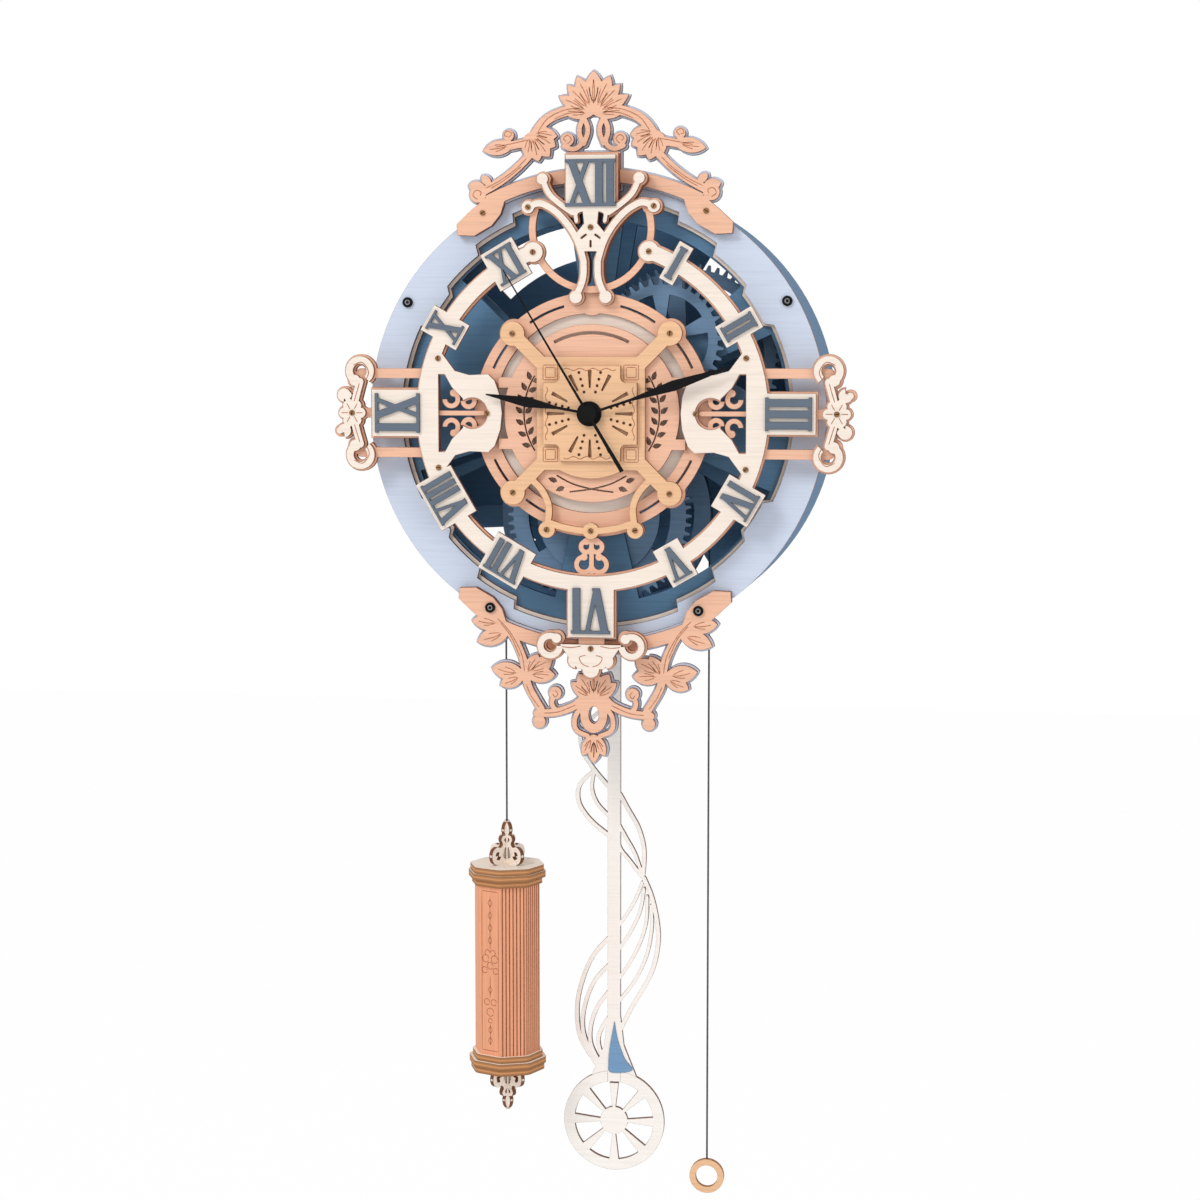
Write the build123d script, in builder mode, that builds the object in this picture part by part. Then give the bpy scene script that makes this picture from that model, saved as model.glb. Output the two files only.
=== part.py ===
from build123d import *
from math import cos, radians, sin, tan
import os

os.makedirs("parts", exist_ok=True)

# Driving dimensions, in millimetres.
# The clock hangs from a wall screw; x runs right, z up, and the front faces -y.
ply = 3.0
case_r = 140.0
wall_thick = 2.4
hang_rise = 120.0
hang_hole_r = 4.0

# Play between pieces: along an arbor, round a running arbor, round a fixed piece.
side_play = 2.0
shaft_play = 0.08
fit_play = 0.15

# Distances of the layers in front of the wall.
back_face = ply
pendulum_gap = 2.0
pendulum_depth = back_face + pendulum_gap
sheave_depth = 32.0
sheave_ply = 3.0
rear_plate_depth = sheave_depth + 3 * sheave_ply + side_play
escape_depth = rear_plate_depth + ply + side_play
third_depth = escape_depth + ply + side_play
centre_depth = third_depth + ply + side_play
great_depth = centre_depth + ply + side_play
clutch_gap = 0.3
clutch_depth = great_depth + ply + clutch_gap
front_plate_depth = clutch_depth + ply + side_play
bezel_back_depth = front_plate_depth + ply
bezel_depth = bezel_back_depth + ply
crown_back_depth = bezel_depth + ply
crown_depth = crown_back_depth + ply
motion_depth = bezel_back_depth + side_play
hour_depth = motion_depth + ply + side_play / 2
dial_depth = hour_depth + ply + side_play
ring_depth = dial_depth + ply
laurel_depth = ring_depth + ply
rosette_depth = laurel_depth + ply
burst_depth = rosette_depth + ply
hand_thick = 1.0
hour_hand_depth = burst_depth + ply + side_play
minute_hand_depth = hour_hand_depth + hand_thick + side_play / 2
second_hand_depth = minute_hand_depth + hand_thick + side_play / 2

# Gear trains: teeth and modules. Each pair shares one module.
pinion_teeth = 8
third_teeth = 64
centre_teeth = 60
great_teeth = 64
hour_teeth = 64
cannon_teeth = 24
minute_teeth = 36
escape_teeth = 42
train_module = 1.75
third_distance = train_module * (third_teeth + pinion_teeth) / 2
centre_module = 2 * third_distance / (centre_teeth + pinion_teeth)
motion_module = 2.0
motion_distance = motion_module * (cannon_teeth + minute_teeth) / 2
hour_module = 2 * motion_distance / (hour_teeth + pinion_teeth)
third_angle = 32.0
motion_angle = 47.0
great_angle = -90.0
addendum_share = 0.8
dedendum_share = 1.2
wheel_root_share = 0.28
wheel_tip_share = 0.11
leaf_root_share = 0.22
leaf_tip_share = 0.12

# Arbors and tubes.
second_arbor_r = 1.6
minute_tube_r = 3.2
hour_tube_r = 4.8
arbor_r = 2.5
collar_r = 5.0

# A bend takes this share of the shorter run beside it, and a scroll's eye this share of its strip.
bend_share = 0.48
eye_share = 0.75


def front(depth, x=0.0, z=0.0):
    """The plane square to the wall, at a depth in front of it, centred on a point of the dial."""
    return Plane(origin=(x, -depth, z - hang_rise), x_dir=(1, 0, 0), z_dir=(0, -1, 0))


def polar(radius, angle):
    """A point at a radius and an angle in degrees, counted from the x axis."""
    return radius * cos(radians(angle)), radius * sin(radians(angle))


def sector(inner, outer, start, end, mode=Mode.ADD):
    """A piece of a flat ring between two radii and two angles."""
    with BuildLine() as edge:
        CenterArc((0, 0), outer, start, end - start)
        CenterArc((0, 0), inner, start, end - start)
        Line(polar(inner, start), polar(outer, start))
        Line(polar(inner, end), polar(outer, end))
    make_face(edge.edges(), mode=mode)


def corner_radii(points):
    """The largest even bends for a line through points: one radius for each inner point."""
    runs = [Vector(*after) - Vector(*before) for before, after in zip(points, points[1:])]
    radii = []
    for before, after in zip(runs, runs[1:]):
        half_turn = radians(before.get_angle(after)) / 2
        radii.append(bend_share * min(before.length, after.length) / tan(half_turn))
    return radii


def band(points, width, mode=Mode.ADD):
    """A strip of even width along runs joined by wide bends, with round ends."""
    with BuildLine() as path:
        if len(points) == 2:
            Line(*points)
        else:
            FilletPolyline(*points, radius=corner_radii(points))
    trace(path.edges(), line_width=width, mode=mode)
    with Locations(points[0], points[-1]):
        Circle(width / 2, mode=mode)


def scaled(shares, across, up, x=0.0, z=0.0):
    """Outline points given as shares of a half width and a height."""
    return [(x + across * s, z + up * t) for s, t in shares]


def flipped(points):
    """The same points, mirrored left to right."""
    return [(-x, z) for x, z in points]


def curl(x, z, radius, width, start, sweep, mode=Mode.ADD):
    """A scroll end: an arc of strip that closes on a round eye."""
    with BuildLine() as path:
        CenterArc((x, z), radius, start, sweep)
    trace(path.edges(), line_width=width, mode=mode)
    eye = polar(radius, start + sweep)
    with Locations((x + eye[0], z + eye[1])):
        Circle(width * eye_share, mode=mode)


def teeth_outline(teeth, module, root_share, tip_share, turn):
    """The toothed rim of a wheel: straight flanks, one tooth centred on the angle turn."""
    pitch_r = teeth * module / 2
    root_r = pitch_r - dedendum_share * module
    tip_r = pitch_r + addendum_share * module
    step = 360 / teeth
    points = []
    for tooth in range(teeth):
        middle = turn + tooth * step
        points.append(polar(root_r, middle - root_share * step))
        points.append(polar(tip_r, middle - tip_share * step))
        points.append(polar(tip_r, middle + tip_share * step))
        points.append(polar(root_r, middle + root_share * step))
    Polygon(*points, align=None)


def wheel(teeth, module, turn):
    """A wheel's rim; see teeth_outline."""
    teeth_outline(teeth, module, wheel_root_share, wheel_tip_share, turn)


def pinion(module, turn):
    """A pinion's leaves; see teeth_outline."""
    teeth_outline(pinion_teeth, module, leaf_root_share, leaf_tip_share, turn)


def windows(inner, outer, count, arm_share, turn=0.0):
    """The openings between a wheel's arms. The arms take arm_share of each step."""
    step = 360 / count
    for opening in range(count):
        start = turn + step * (opening + arm_share / 2)
        sector(inner, outer, start, start + step * (1 - arm_share), mode=Mode.SUBTRACT)


def finish(piece, name):
    """Name a finished piece and write it out."""
    piece.part.label = name
    export_step(piece.part, f"parts/{name}.step")


# Where the arbors stand, from the hand axis.
third_x, third_z = polar(third_distance, third_angle)
motion_x, motion_z = polar(motion_distance, motion_angle)
great_x, great_z = polar(third_distance, great_angle)
escape_r = 36.0
escape_span = 11.5
anchor_z = escape_r / cos(radians(180 * escape_span / escape_teeth))

# The case: back plate, bent side walls, pillars and the bezel on its backing.
pillar_r = 4.0
pillar_orbit = 129.0
pillar_angles = (14, 62, 118, 166, 212, 328)
plate_r = case_r - wall_thick - fit_play
back_window_in = 98.0
back_window_out = 122.0
back_windows = ((100, 134), (-84, -58), (-140, -122), (40, 58), (150, 162))
wall_start = -50.0
wall_end = 66.0

with BuildPart() as back_plate:
    with BuildSketch(front(0)):
        Circle(case_r)
        for window_start, window_end in back_windows:
            sector(back_window_in, back_window_out, window_start, window_end, mode=Mode.SUBTRACT)
        with Locations((0, hang_rise)):
            Circle(hang_hole_r, mode=Mode.SUBTRACT)
        with Locations((0, anchor_z)):
            Circle(arbor_r + shaft_play, mode=Mode.SUBTRACT)
    extrude(amount=ply)
finish(back_plate, "back_plate")

with BuildPart() as side_walls:
    with BuildSketch(front(back_face)):
        sector(case_r - wall_thick, case_r, wall_start, wall_end)
        sector(case_r - wall_thick, case_r, 180 - wall_end, 180 - wall_start)
    extrude(amount=bezel_back_depth - back_face)
finish(side_walls, "side_walls")


def pillar_octagons():
    """The six octagonal pillars that hold the plates apart."""
    for angle in pillar_angles:
        with Locations(polar(pillar_orbit, angle)):
            RegularPolygon(pillar_r, 8)


with BuildPart() as case_pillars:
    with BuildSketch(front(back_face)):
        pillar_octagons()
    extrude(amount=rear_plate_depth - back_face)
    with BuildSketch(front(rear_plate_depth + ply)):
        pillar_octagons()
    extrude(amount=front_plate_depth - rear_plate_depth - ply)
finish(case_pillars, "case_pillars")

# The movement plates: blue ply with openings over the train.
plate_hub_r = 34.0
plate_ring_in = 116.0
front_windows = ((5, 24), (41, 82), (98, 136), (-162, -103), (-77, -24))
rear_windows = ((-20, 22), (42, 80), (100, 136), (150, 200), (-156, -104), (-76, -32))
boss_r = 9.0

with BuildPart() as rear_movement_plate:
    with BuildSketch(front(rear_plate_depth)):
        Circle(plate_r)
        for window_start, window_end in rear_windows:
            sector(plate_hub_r, plate_ring_in, window_start, window_end, mode=Mode.SUBTRACT)
        with Locations((third_x, third_z), (great_x, great_z), (0, anchor_z)):
            Circle(boss_r)
        with Locations((third_x, third_z), (great_x, great_z), (0, anchor_z)):
            Circle(arbor_r + shaft_play, mode=Mode.SUBTRACT)
        Circle(second_arbor_r + shaft_play, mode=Mode.SUBTRACT)
    extrude(amount=ply)
finish(rear_movement_plate, "rear_movement_plate")

with BuildPart() as front_movement_plate:
    with BuildSketch(front(front_plate_depth)):
        Circle(plate_r)
        for window_start, window_end in front_windows:
            sector(plate_hub_r, plate_ring_in, window_start, window_end, mode=Mode.SUBTRACT)
        with Locations((third_x, third_z), (motion_x, motion_z)):
            Circle(boss_r)
        with Locations((third_x, third_z), (great_x, great_z), (motion_x, motion_z)):
            Circle(arbor_r + shaft_play, mode=Mode.SUBTRACT)
        Circle(minute_tube_r + shaft_play, mode=Mode.SUBTRACT)
    extrude(amount=ply)
finish(front_movement_plate, "front_movement_plate")

# The bezel's inner edge stands back at the top and bottom and steps in beside them.
# Each recess: half its angle and its radius.
bezel_in = 115.5
bezel_side_recess = (26.0, 120.5)
bezel_end_recesses = ((50.0, 119.5), (36.0, 125.5), (23.0, 130.5))
bezel_lip = 2.2
bezel_slope = 2.5


def bezel_opening(shrink):
    """The opening of the bezel: round, with stepped recesses that have sloping ends."""
    Circle(bezel_in - shrink, mode=Mode.SUBTRACT)
    places = [(0, *bezel_side_recess), (180, *bezel_side_recess)]
    for half, outer in bezel_end_recesses:
        places += [(90, half, outer), (270, half, outer)]
    for middle, half, outer in places:
        inner = bezel_in - shrink - bezel_lip
        with BuildLine() as edge:
            CenterArc((0, 0), outer - shrink, middle - half, 2 * half)
            CenterArc((0, 0), inner, middle - half - bezel_slope, 2 * (half + bezel_slope))
            Line(polar(outer - shrink, middle - half), polar(inner, middle - half - bezel_slope))
            Line(polar(outer - shrink, middle + half), polar(inner, middle + half + bezel_slope))
        make_face(edge.edges(), mode=Mode.SUBTRACT)


with BuildPart() as bezel_backing:
    with BuildSketch(front(bezel_back_depth)):
        Circle(case_r)
        bezel_opening(bezel_lip)
    extrude(amount=ply)
finish(bezel_backing, "bezel_backing")

with BuildPart() as bezel:
    with BuildSketch(front(bezel_depth)):
        Circle(case_r)
        bezel_opening(0)
    extrude(amount=ply)
finish(bezel, "bezel")

# The going train. Each wheel is cut from ply and sits on an arbor with its pinion.
rim_share = 0.84
hub_share = 0.26
arm_share = 0.30
train_rim_share = 0.70
third_rim_share = 0.74
train_arms = 4
third_arms = 5
great_arm_turn = 45
sheave_arms = 5
sheave_arm_turn = 90
sheave_r = 64.0
flange_r = 66.0
cord_r = 0.6
sheave_hub_r = 16.0
clutch_r = 38.0
bridge_gap = 3.0
bridge_depth = sheave_depth - bridge_gap - ply
bridge_width = 14.0


def sheave_layer(depth, radius):
    """One ply of the cord sheave, with five arms."""
    with BuildSketch(front(depth, great_x, great_z)) as layer:
        Circle(radius)
        windows(sheave_hub_r, flange_r * rim_share, sheave_arms, arm_share, sheave_arm_turn)
        Circle(arbor_r, mode=Mode.SUBTRACT)
    return layer.sketch


with BuildPart() as sheave_bridge:
    with BuildSketch(front(bridge_depth)):
        bridge_end = polar(pillar_orbit, pillar_angles[5])
        band([bridge_end, (great_x, great_z), (-bridge_end[0], bridge_end[1])], bridge_width)
        with Locations((great_x, great_z)):
            Circle(bridge_width)
            Circle(arbor_r + shaft_play, mode=Mode.SUBTRACT)
        with Locations(bridge_end, (-bridge_end[0], bridge_end[1])):
            RegularPolygon(pillar_r + fit_play, 8, mode=Mode.SUBTRACT)
    extrude(amount=ply)
finish(sheave_bridge, "sheave_bridge")

with BuildPart() as cord_sheave:
    extrude(sheave_layer(sheave_depth, flange_r), amount=sheave_ply)
    extrude(sheave_layer(sheave_depth + sheave_ply, sheave_r), amount=sheave_ply)
    extrude(sheave_layer(sheave_depth + 2 * sheave_ply, flange_r), amount=sheave_ply)
finish(cord_sheave, "cord_sheave")

with BuildPart() as sheave_arbor:
    with BuildSketch(front(bridge_depth, great_x, great_z)):
        Circle(arbor_r)
    extrude(amount=front_plate_depth + ply - bridge_depth)
finish(sheave_arbor, "sheave_arbor")

with BuildPart() as clutch_disc:
    with BuildSketch(front(clutch_depth, great_x, great_z)):
        Circle(clutch_r)
        Circle(arbor_r, mode=Mode.SUBTRACT)
    extrude(amount=ply)
finish(clutch_disc, "clutch_disc")

with BuildPart() as great_wheel:
    with BuildSketch(front(great_depth, great_x, great_z)):
        wheel(great_teeth, train_module, -great_angle)
        windows(
            third_distance * hub_share,
            third_distance * train_rim_share,
            train_arms,
            arm_share,
            great_arm_turn,
        )
        Circle(arbor_r + shaft_play, mode=Mode.SUBTRACT)
    extrude(amount=ply)
finish(great_wheel, "great_wheel")

with BuildPart() as centre_wheel:
    with BuildSketch(front(centre_depth)):
        wheel(centre_teeth, centre_module, third_angle)
        windows(third_distance * hub_share, third_distance * train_rim_share, train_arms, arm_share)
        Circle(minute_tube_r, mode=Mode.SUBTRACT)
    extrude(amount=ply)
finish(centre_wheel, "centre_wheel")

with BuildPart() as centre_pinion:
    with BuildSketch(front(great_depth)):
        pinion(train_module, great_angle + 180 / pinion_teeth)
        Circle(minute_tube_r, mode=Mode.SUBTRACT)
    extrude(amount=ply)
finish(centre_pinion, "centre_pinion")

with BuildPart() as third_wheel:
    with BuildSketch(front(third_depth, third_x, third_z)):
        wheel(third_teeth, train_module, third_angle + 180)
        windows(
            third_distance * hub_share,
            third_distance * third_rim_share,
            third_arms,
            arm_share,
            third_angle,
        )
        Circle(arbor_r, mode=Mode.SUBTRACT)
    extrude(amount=ply)
finish(third_wheel, "third_wheel")

with BuildPart() as third_pinion:
    with BuildSketch(front(centre_depth, third_x, third_z)):
        pinion(centre_module, third_angle + 180 + 180 / pinion_teeth)
        Circle(arbor_r, mode=Mode.SUBTRACT)
    extrude(amount=ply)
finish(third_pinion, "third_pinion")

with BuildPart() as third_arbor:
    with BuildSketch(front(rear_plate_depth, third_x, third_z)):
        Circle(arbor_r)
    extrude(amount=front_plate_depth + ply - rear_plate_depth)
    for collar_start, collar_end in (
        (third_depth + ply, centre_depth),
        (centre_depth + ply, clutch_depth),
    ):
        with BuildSketch(front(collar_start, third_x, third_z)):
            Circle(collar_r)
        extrude(amount=collar_end - collar_start)
finish(third_arbor, "third_arbor")

# The motion work turns the hour tube once for twelve turns of the minute tube.
minute_hub_share = 0.16
minute_rim_share = 0.46
minute_arms = 5
minute_arm_turn = 20
hour_hub_share = 0.20
hour_rim_share = 0.72
hour_arms = 4

with BuildPart() as cannon_wheel:
    with BuildSketch(front(motion_depth)):
        wheel(cannon_teeth, motion_module, motion_angle)
        Circle(minute_tube_r, mode=Mode.SUBTRACT)
    extrude(amount=ply)
finish(cannon_wheel, "cannon_wheel")

with BuildPart() as minute_wheel:
    with BuildSketch(front(motion_depth, motion_x, motion_z)):
        wheel(minute_teeth, motion_module, motion_angle + 180 + 180 / minute_teeth)
        windows(
            motion_distance * minute_hub_share,
            motion_distance * minute_rim_share,
            minute_arms,
            arm_share,
            minute_arm_turn,
        )
        Circle(arbor_r, mode=Mode.SUBTRACT)
    extrude(amount=ply)
finish(minute_wheel, "minute_wheel")

with BuildPart() as minute_pinion:
    with BuildSketch(front(hour_depth, motion_x, motion_z)):
        pinion(hour_module, motion_angle + 180 + 180 / pinion_teeth)
        Circle(arbor_r, mode=Mode.SUBTRACT)
    extrude(amount=ply)
finish(minute_pinion, "minute_pinion")

with BuildPart() as minute_arbor:
    with BuildSketch(front(front_plate_depth, motion_x, motion_z)):
        Circle(arbor_r)
    extrude(amount=hour_depth + ply - front_plate_depth)
    with BuildSketch(front(motion_depth + ply, motion_x, motion_z)):
        Circle(collar_r)
    extrude(amount=hour_depth - motion_depth - ply)
finish(minute_arbor, "minute_arbor")

with BuildPart() as hour_wheel:
    with BuildSketch(front(hour_depth)):
        wheel(hour_teeth, hour_module, motion_angle)
        windows(motion_distance * hour_hub_share, motion_distance * hour_rim_share, hour_arms, arm_share)
        Circle(hour_tube_r, mode=Mode.SUBTRACT)
    extrude(amount=ply)
finish(hour_wheel, "hour_wheel")

with BuildPart() as hour_tube:
    with BuildSketch(front(hour_depth)):
        Circle(hour_tube_r)
        Circle(minute_tube_r + shaft_play, mode=Mode.SUBTRACT)
    extrude(amount=hour_hand_depth + hand_thick - hour_depth)
finish(hour_tube, "hour_tube")

with BuildPart() as minute_tube:
    with BuildSketch(front(centre_depth)):
        Circle(minute_tube_r)
        Circle(second_arbor_r + shaft_play, mode=Mode.SUBTRACT)
    extrude(amount=minute_hand_depth + hand_thick - centre_depth)
finish(minute_tube, "minute_tube")

with BuildPart() as second_arbor:
    with BuildSketch(front(rear_plate_depth)):
        Circle(second_arbor_r)
    extrude(amount=second_hand_depth + hand_thick - rear_plate_depth)
finish(second_arbor, "second_arbor")

# The escapement: a wheel of pointed teeth under an anchor that swings with the pendulum.
escape_tooth = 5.0
escape_point_share = 0.05
escape_foot_share = 0.20
pallet_gap = 0.4
pallet_tip = 1.2
pallet_foot = 4.4
pallet_long = 8.0
anchor_width = 6.5
anchor_boss = 6.0
elbow_share = 0.92
escape_half = 180 * escape_span / escape_teeth
escape_step = 360 / escape_teeth
escape_turn = 90 + escape_half - escape_step / 4

with BuildPart() as escape_wheel:
    with BuildSketch(front(escape_depth)):
        escape_points = []
        for tooth in range(escape_teeth):
            middle = escape_turn + tooth * escape_step
            escape_points.append(polar(escape_r - escape_tooth, middle - escape_foot_share * escape_step))
            escape_points.append(polar(escape_r, middle - escape_point_share * escape_step))
            escape_points.append(polar(escape_r, middle + escape_point_share * escape_step))
            escape_points.append(polar(escape_r - escape_tooth, middle + escape_foot_share * escape_step))
        Polygon(*escape_points, align=None)
        windows(escape_r * hub_share, escape_r * train_rim_share, train_arms, arm_share)
        Circle(second_arbor_r, mode=Mode.SUBTRACT)
    extrude(amount=ply)
finish(escape_wheel, "escape_wheel")

with BuildPart() as escape_pinion:
    with BuildSketch(front(third_depth)):
        pinion(train_module, third_angle + 180 / pinion_teeth)
        Circle(second_arbor_r, mode=Mode.SUBTRACT)
    extrude(amount=ply)
    with BuildSketch(front(escape_depth + ply)):
        Circle(collar_r)
        Circle(second_arbor_r, mode=Mode.SUBTRACT)
    extrude(amount=third_depth - escape_depth - ply)
finish(escape_pinion, "escape_pinion")

with BuildPart() as anchor:
    with BuildSketch(front(escape_depth)):
        shoulder = polar(escape_r + pallet_gap + pallet_long, 90 - escape_half)
        elbow = polar(anchor_z * elbow_share, 90 - escape_half / 2)
        band(
            [shoulder, elbow, (0, anchor_z), (-elbow[0], elbow[1]), (-shoulder[0], shoulder[1])],
            anchor_width,
        )
        with Locations((0, anchor_z)):
            Circle(anchor_boss)
            Circle(arbor_r, mode=Mode.SUBTRACT)
        for side_angle in (90 - escape_half, 90 + escape_half):
            across = polar(1, side_angle + 90)
            tip = polar(escape_r + pallet_gap, side_angle)
            foot = polar(escape_r + pallet_gap + pallet_long, side_angle)
            Polygon(
                (tip[0] - across[0] * pallet_tip / 2, tip[1] - across[1] * pallet_tip / 2),
                (tip[0] + across[0] * pallet_tip / 2, tip[1] + across[1] * pallet_tip / 2),
                (foot[0] + across[0] * pallet_foot / 2, foot[1] + across[1] * pallet_foot / 2),
                (foot[0] - across[0] * pallet_foot / 2, foot[1] - across[1] * pallet_foot / 2),
                align=None,
            )
    extrude(amount=ply)
finish(anchor, "anchor")

with BuildPart() as anchor_arbor:
    with BuildSketch(front(0, 0, anchor_z)):
        Circle(arbor_r)
    extrude(amount=escape_depth + ply)
finish(anchor_arbor, "anchor_arbor")

# The centre of the dial: a pale disc, a lobed ring, a disc with laurels and two rosette plates.
dial_pillar_r = 2.5
dial_pillar_orbit = 58.5
dial_pillar_angles = (2, 95, 178, 225, 300)
spacer_r = 3.0
spacer_places = ((131.0, 0.0), (-131.0, 0.0), (8.0, -133.4), (-8.0, -133.4))
chapter_back_depth = laurel_depth
dial_r = 66.0
ring_out = 72.5
ring_in = 60.0
lobe_orbit = 67.6
lobe_angles = (45, 135, 225, 315)
lobe_r = 7.4
ring_lobe_r = 9.0
foot_lobe_r = 5.0
foot_lobes = ((-27.0, -70.0), (0.0, -70.6), (27.0, -70.0))
foot_band_out = 74.5
foot_band_half = 24.0
slot_r = 65.6
slot_width = 1.4
slot_spans = ((55, 75), (105, 125), (141, 156), (24, 39), (205, 220), (320, 335), (232, 244), (296, 308))
tube_hole_r = hour_tube_r + shaft_play

with BuildPart() as dial_pillars:
    with BuildSketch(front(bezel_back_depth)):
        for angle in dial_pillar_angles:
            with Locations(polar(dial_pillar_orbit, angle)):
                RegularPolygon(dial_pillar_r, 8)
    extrude(amount=dial_depth - bezel_back_depth)
    with BuildSketch(front(bezel_depth + ply)):
        with Locations(*spacer_places):
            RegularPolygon(spacer_r, 8)
    extrude(amount=chapter_back_depth - bezel_depth - ply)
finish(dial_pillars, "dial_pillars")

with BuildPart() as centre_disc:
    with BuildSketch(front(dial_depth)):
        Circle(dial_r)
        Circle(tube_hole_r, mode=Mode.SUBTRACT)
    extrude(amount=ply)
finish(centre_disc, "centre_disc")

with BuildPart() as centre_ring:
    with BuildSketch(front(ring_depth)):
        Circle(ring_out)
        Circle(ring_in, mode=Mode.SUBTRACT)
        for angle in (90,) + lobe_angles:
            with Locations(polar(lobe_orbit, angle)):
                Circle(ring_lobe_r)
        sector(ring_in, foot_band_out, 270 - foot_band_half, 270 + foot_band_half)
        with Locations(*foot_lobes):
            Circle(foot_lobe_r)
        for slot_start, slot_end in slot_spans:
            sector(slot_r, slot_r + slot_width, slot_start, slot_end, mode=Mode.SUBTRACT)
    extrude(amount=ply)
finish(centre_ring, "centre_ring")

laurel_r = 53.4
laurel_side = 41.3
leaf_long = 5.8
leaf_wide = 3.0
leaf_count = 7
leaf_step = 9.4
leaf_tilt = 48.0
stem_half = 0.8
slot_half = 28.0
slot_arc_r = 47.4
slot_arc_width = 1.8
arm_wide = 6.5
arm_reach = 57.0
arm_rise = 18.5
low_stem = ((-21.0, -37.5), (-12.0, -42.5), (0.0, -45.6), (13.0, -47.2))
low_leaves = ((-21.0, -41.0, 160), (-16.5, -44.5, 200))

leaf_shares = ((0.0, 0.0), (0.3, 0.5), (0.65, 0.42), (1.0, 0.0), (0.65, -0.42), (0.3, -0.5))


def leaf_cut(x, z, tilt):
    """One pointed laurel leaf, cut through the ply."""
    along = polar(leaf_long, tilt)
    across = polar(leaf_wide, tilt + 90)
    points = [(x + along[0] * s + across[0] * t, z + along[1] * s + across[1] * t) for s, t in leaf_shares]
    Polygon(*points, align=None, mode=Mode.SUBTRACT)


with BuildPart() as laurel_disc:
    with BuildSketch(front(laurel_depth)):
        Circle(laurel_r)
        for arm_z in (arm_rise, -arm_rise):
            with Locations((0, arm_z)):
                Rectangle(2 * arm_reach, arm_wide)
        for side in (-1, 1):
            for leaf in range(leaf_count):
                turn = (leaf - (leaf_count - 1) / 2) * leaf_step
                angle = turn if side > 0 else 180 - turn
                for across, tilt in ((stem_half, -leaf_tilt), (-stem_half, leaf_tilt)):
                    x, z = polar(laurel_side + across, angle)
                    leaf_cut(x, z, 90 + side * (tilt + turn))
            stem = leaf_step * leaf_count / 2
            middle = 90 - 90 * side
            sector(
                laurel_side - stem_half / 2,
                laurel_side + stem_half / 2,
                middle - stem,
                middle + stem,
                mode=Mode.SUBTRACT,
            )
            band(low_stem if side < 0 else flipped(low_stem), stem_half, mode=Mode.SUBTRACT)
            for x, z, tilt in low_leaves:
                leaf_cut(-side * x, z, tilt if side < 0 else 180 - tilt)
        sector(slot_arc_r, slot_arc_r + slot_arc_width, 90 - slot_half, 90 + slot_half, mode=Mode.SUBTRACT)
        Circle(tube_hole_r, mode=Mode.SUBTRACT)
    extrude(amount=ply)
finish(laurel_disc, "laurel_disc")

rosette_wide = 66.0
rosette_high = 68.0
rosette_corner = 3.5
rosette_foot_r = 39.0
rosette_foot_half = 36.0
x_arm_width = 8.4
foot_arm = ((-37.0, -39.0), (-29.5, -46.0), (-25.0, -56.0), (-27.0, -70.0))
foot_arm_width = 4.0

with BuildPart() as rosette_plate:
    with BuildSketch(front(rosette_depth)):
        RectangleRounded(rosette_wide, rosette_high, rosette_corner)
        sector(rosette_foot_r / 2, rosette_foot_r, 270 - rosette_foot_half, 270 + rosette_foot_half)
        for angle in lobe_angles:
            band([polar(rosette_foot_r, angle), polar(lobe_orbit, angle)], x_arm_width)
            with Locations(polar(lobe_orbit, angle)):
                Circle(lobe_r)
        for points in (foot_arm, flipped(foot_arm)):
            band(points, foot_arm_width)
        with Locations(*foot_lobes):
            Circle(foot_lobe_r)
        foot_r = -foot_lobes[1][1]
        sector(
            foot_r - foot_arm_width / 2,
            foot_r + foot_arm_width / 2,
            270 - foot_band_half + rosette_corner,
            270 + foot_band_half - rosette_corner,
        )
        Circle(tube_hole_r, mode=Mode.SUBTRACT)
    extrude(amount=ply)
finish(rosette_plate, "rosette_plate")

burst_half = 28.5
burst_bite = 10.0
ray_in = 15.5
ray_out = 26.0
ray_inner_half = 0.5
ray_outer_half = 1.1
ray_angles = (0, 28, 62, 90, 118, 152, 180, 208, 242, 270, 298, 332)
dot_angles = (15, 75, 105, 165, 195, 255, 285, 345)
dot_orbits = (13.4, 17.3, 21.3, 25.4)
dot_r = 0.9

with BuildPart() as burst_plate:
    with BuildSketch(front(burst_depth)):
        RectangleRounded(2 * burst_half, 2 * burst_half, burst_bite / 4)
        with Locations(
            (burst_half, burst_half),
            (-burst_half, burst_half),
            (burst_half, -burst_half),
            (-burst_half, -burst_half),
        ):
            RectangleRounded(2 * burst_bite, 2 * burst_bite, burst_bite / 3, mode=Mode.SUBTRACT)
        for angle in ray_angles:
            with Locations(Location((0, 0), angle)):
                Polygon(
                    (ray_in, -ray_inner_half),
                    (ray_out, -ray_outer_half),
                    (ray_out, ray_outer_half),
                    (ray_in, ray_inner_half),
                    align=None,
                    mode=Mode.SUBTRACT,
                )
        for angle in dot_angles:
            for orbit in dot_orbits:
                with Locations(polar(orbit, angle)):
                    RegularPolygon(dot_r, 6, mode=Mode.SUBTRACT)
        Circle(tube_hole_r, mode=Mode.SUBTRACT)
    extrude(amount=ply)
finish(burst_plate, "burst_plate")

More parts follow.
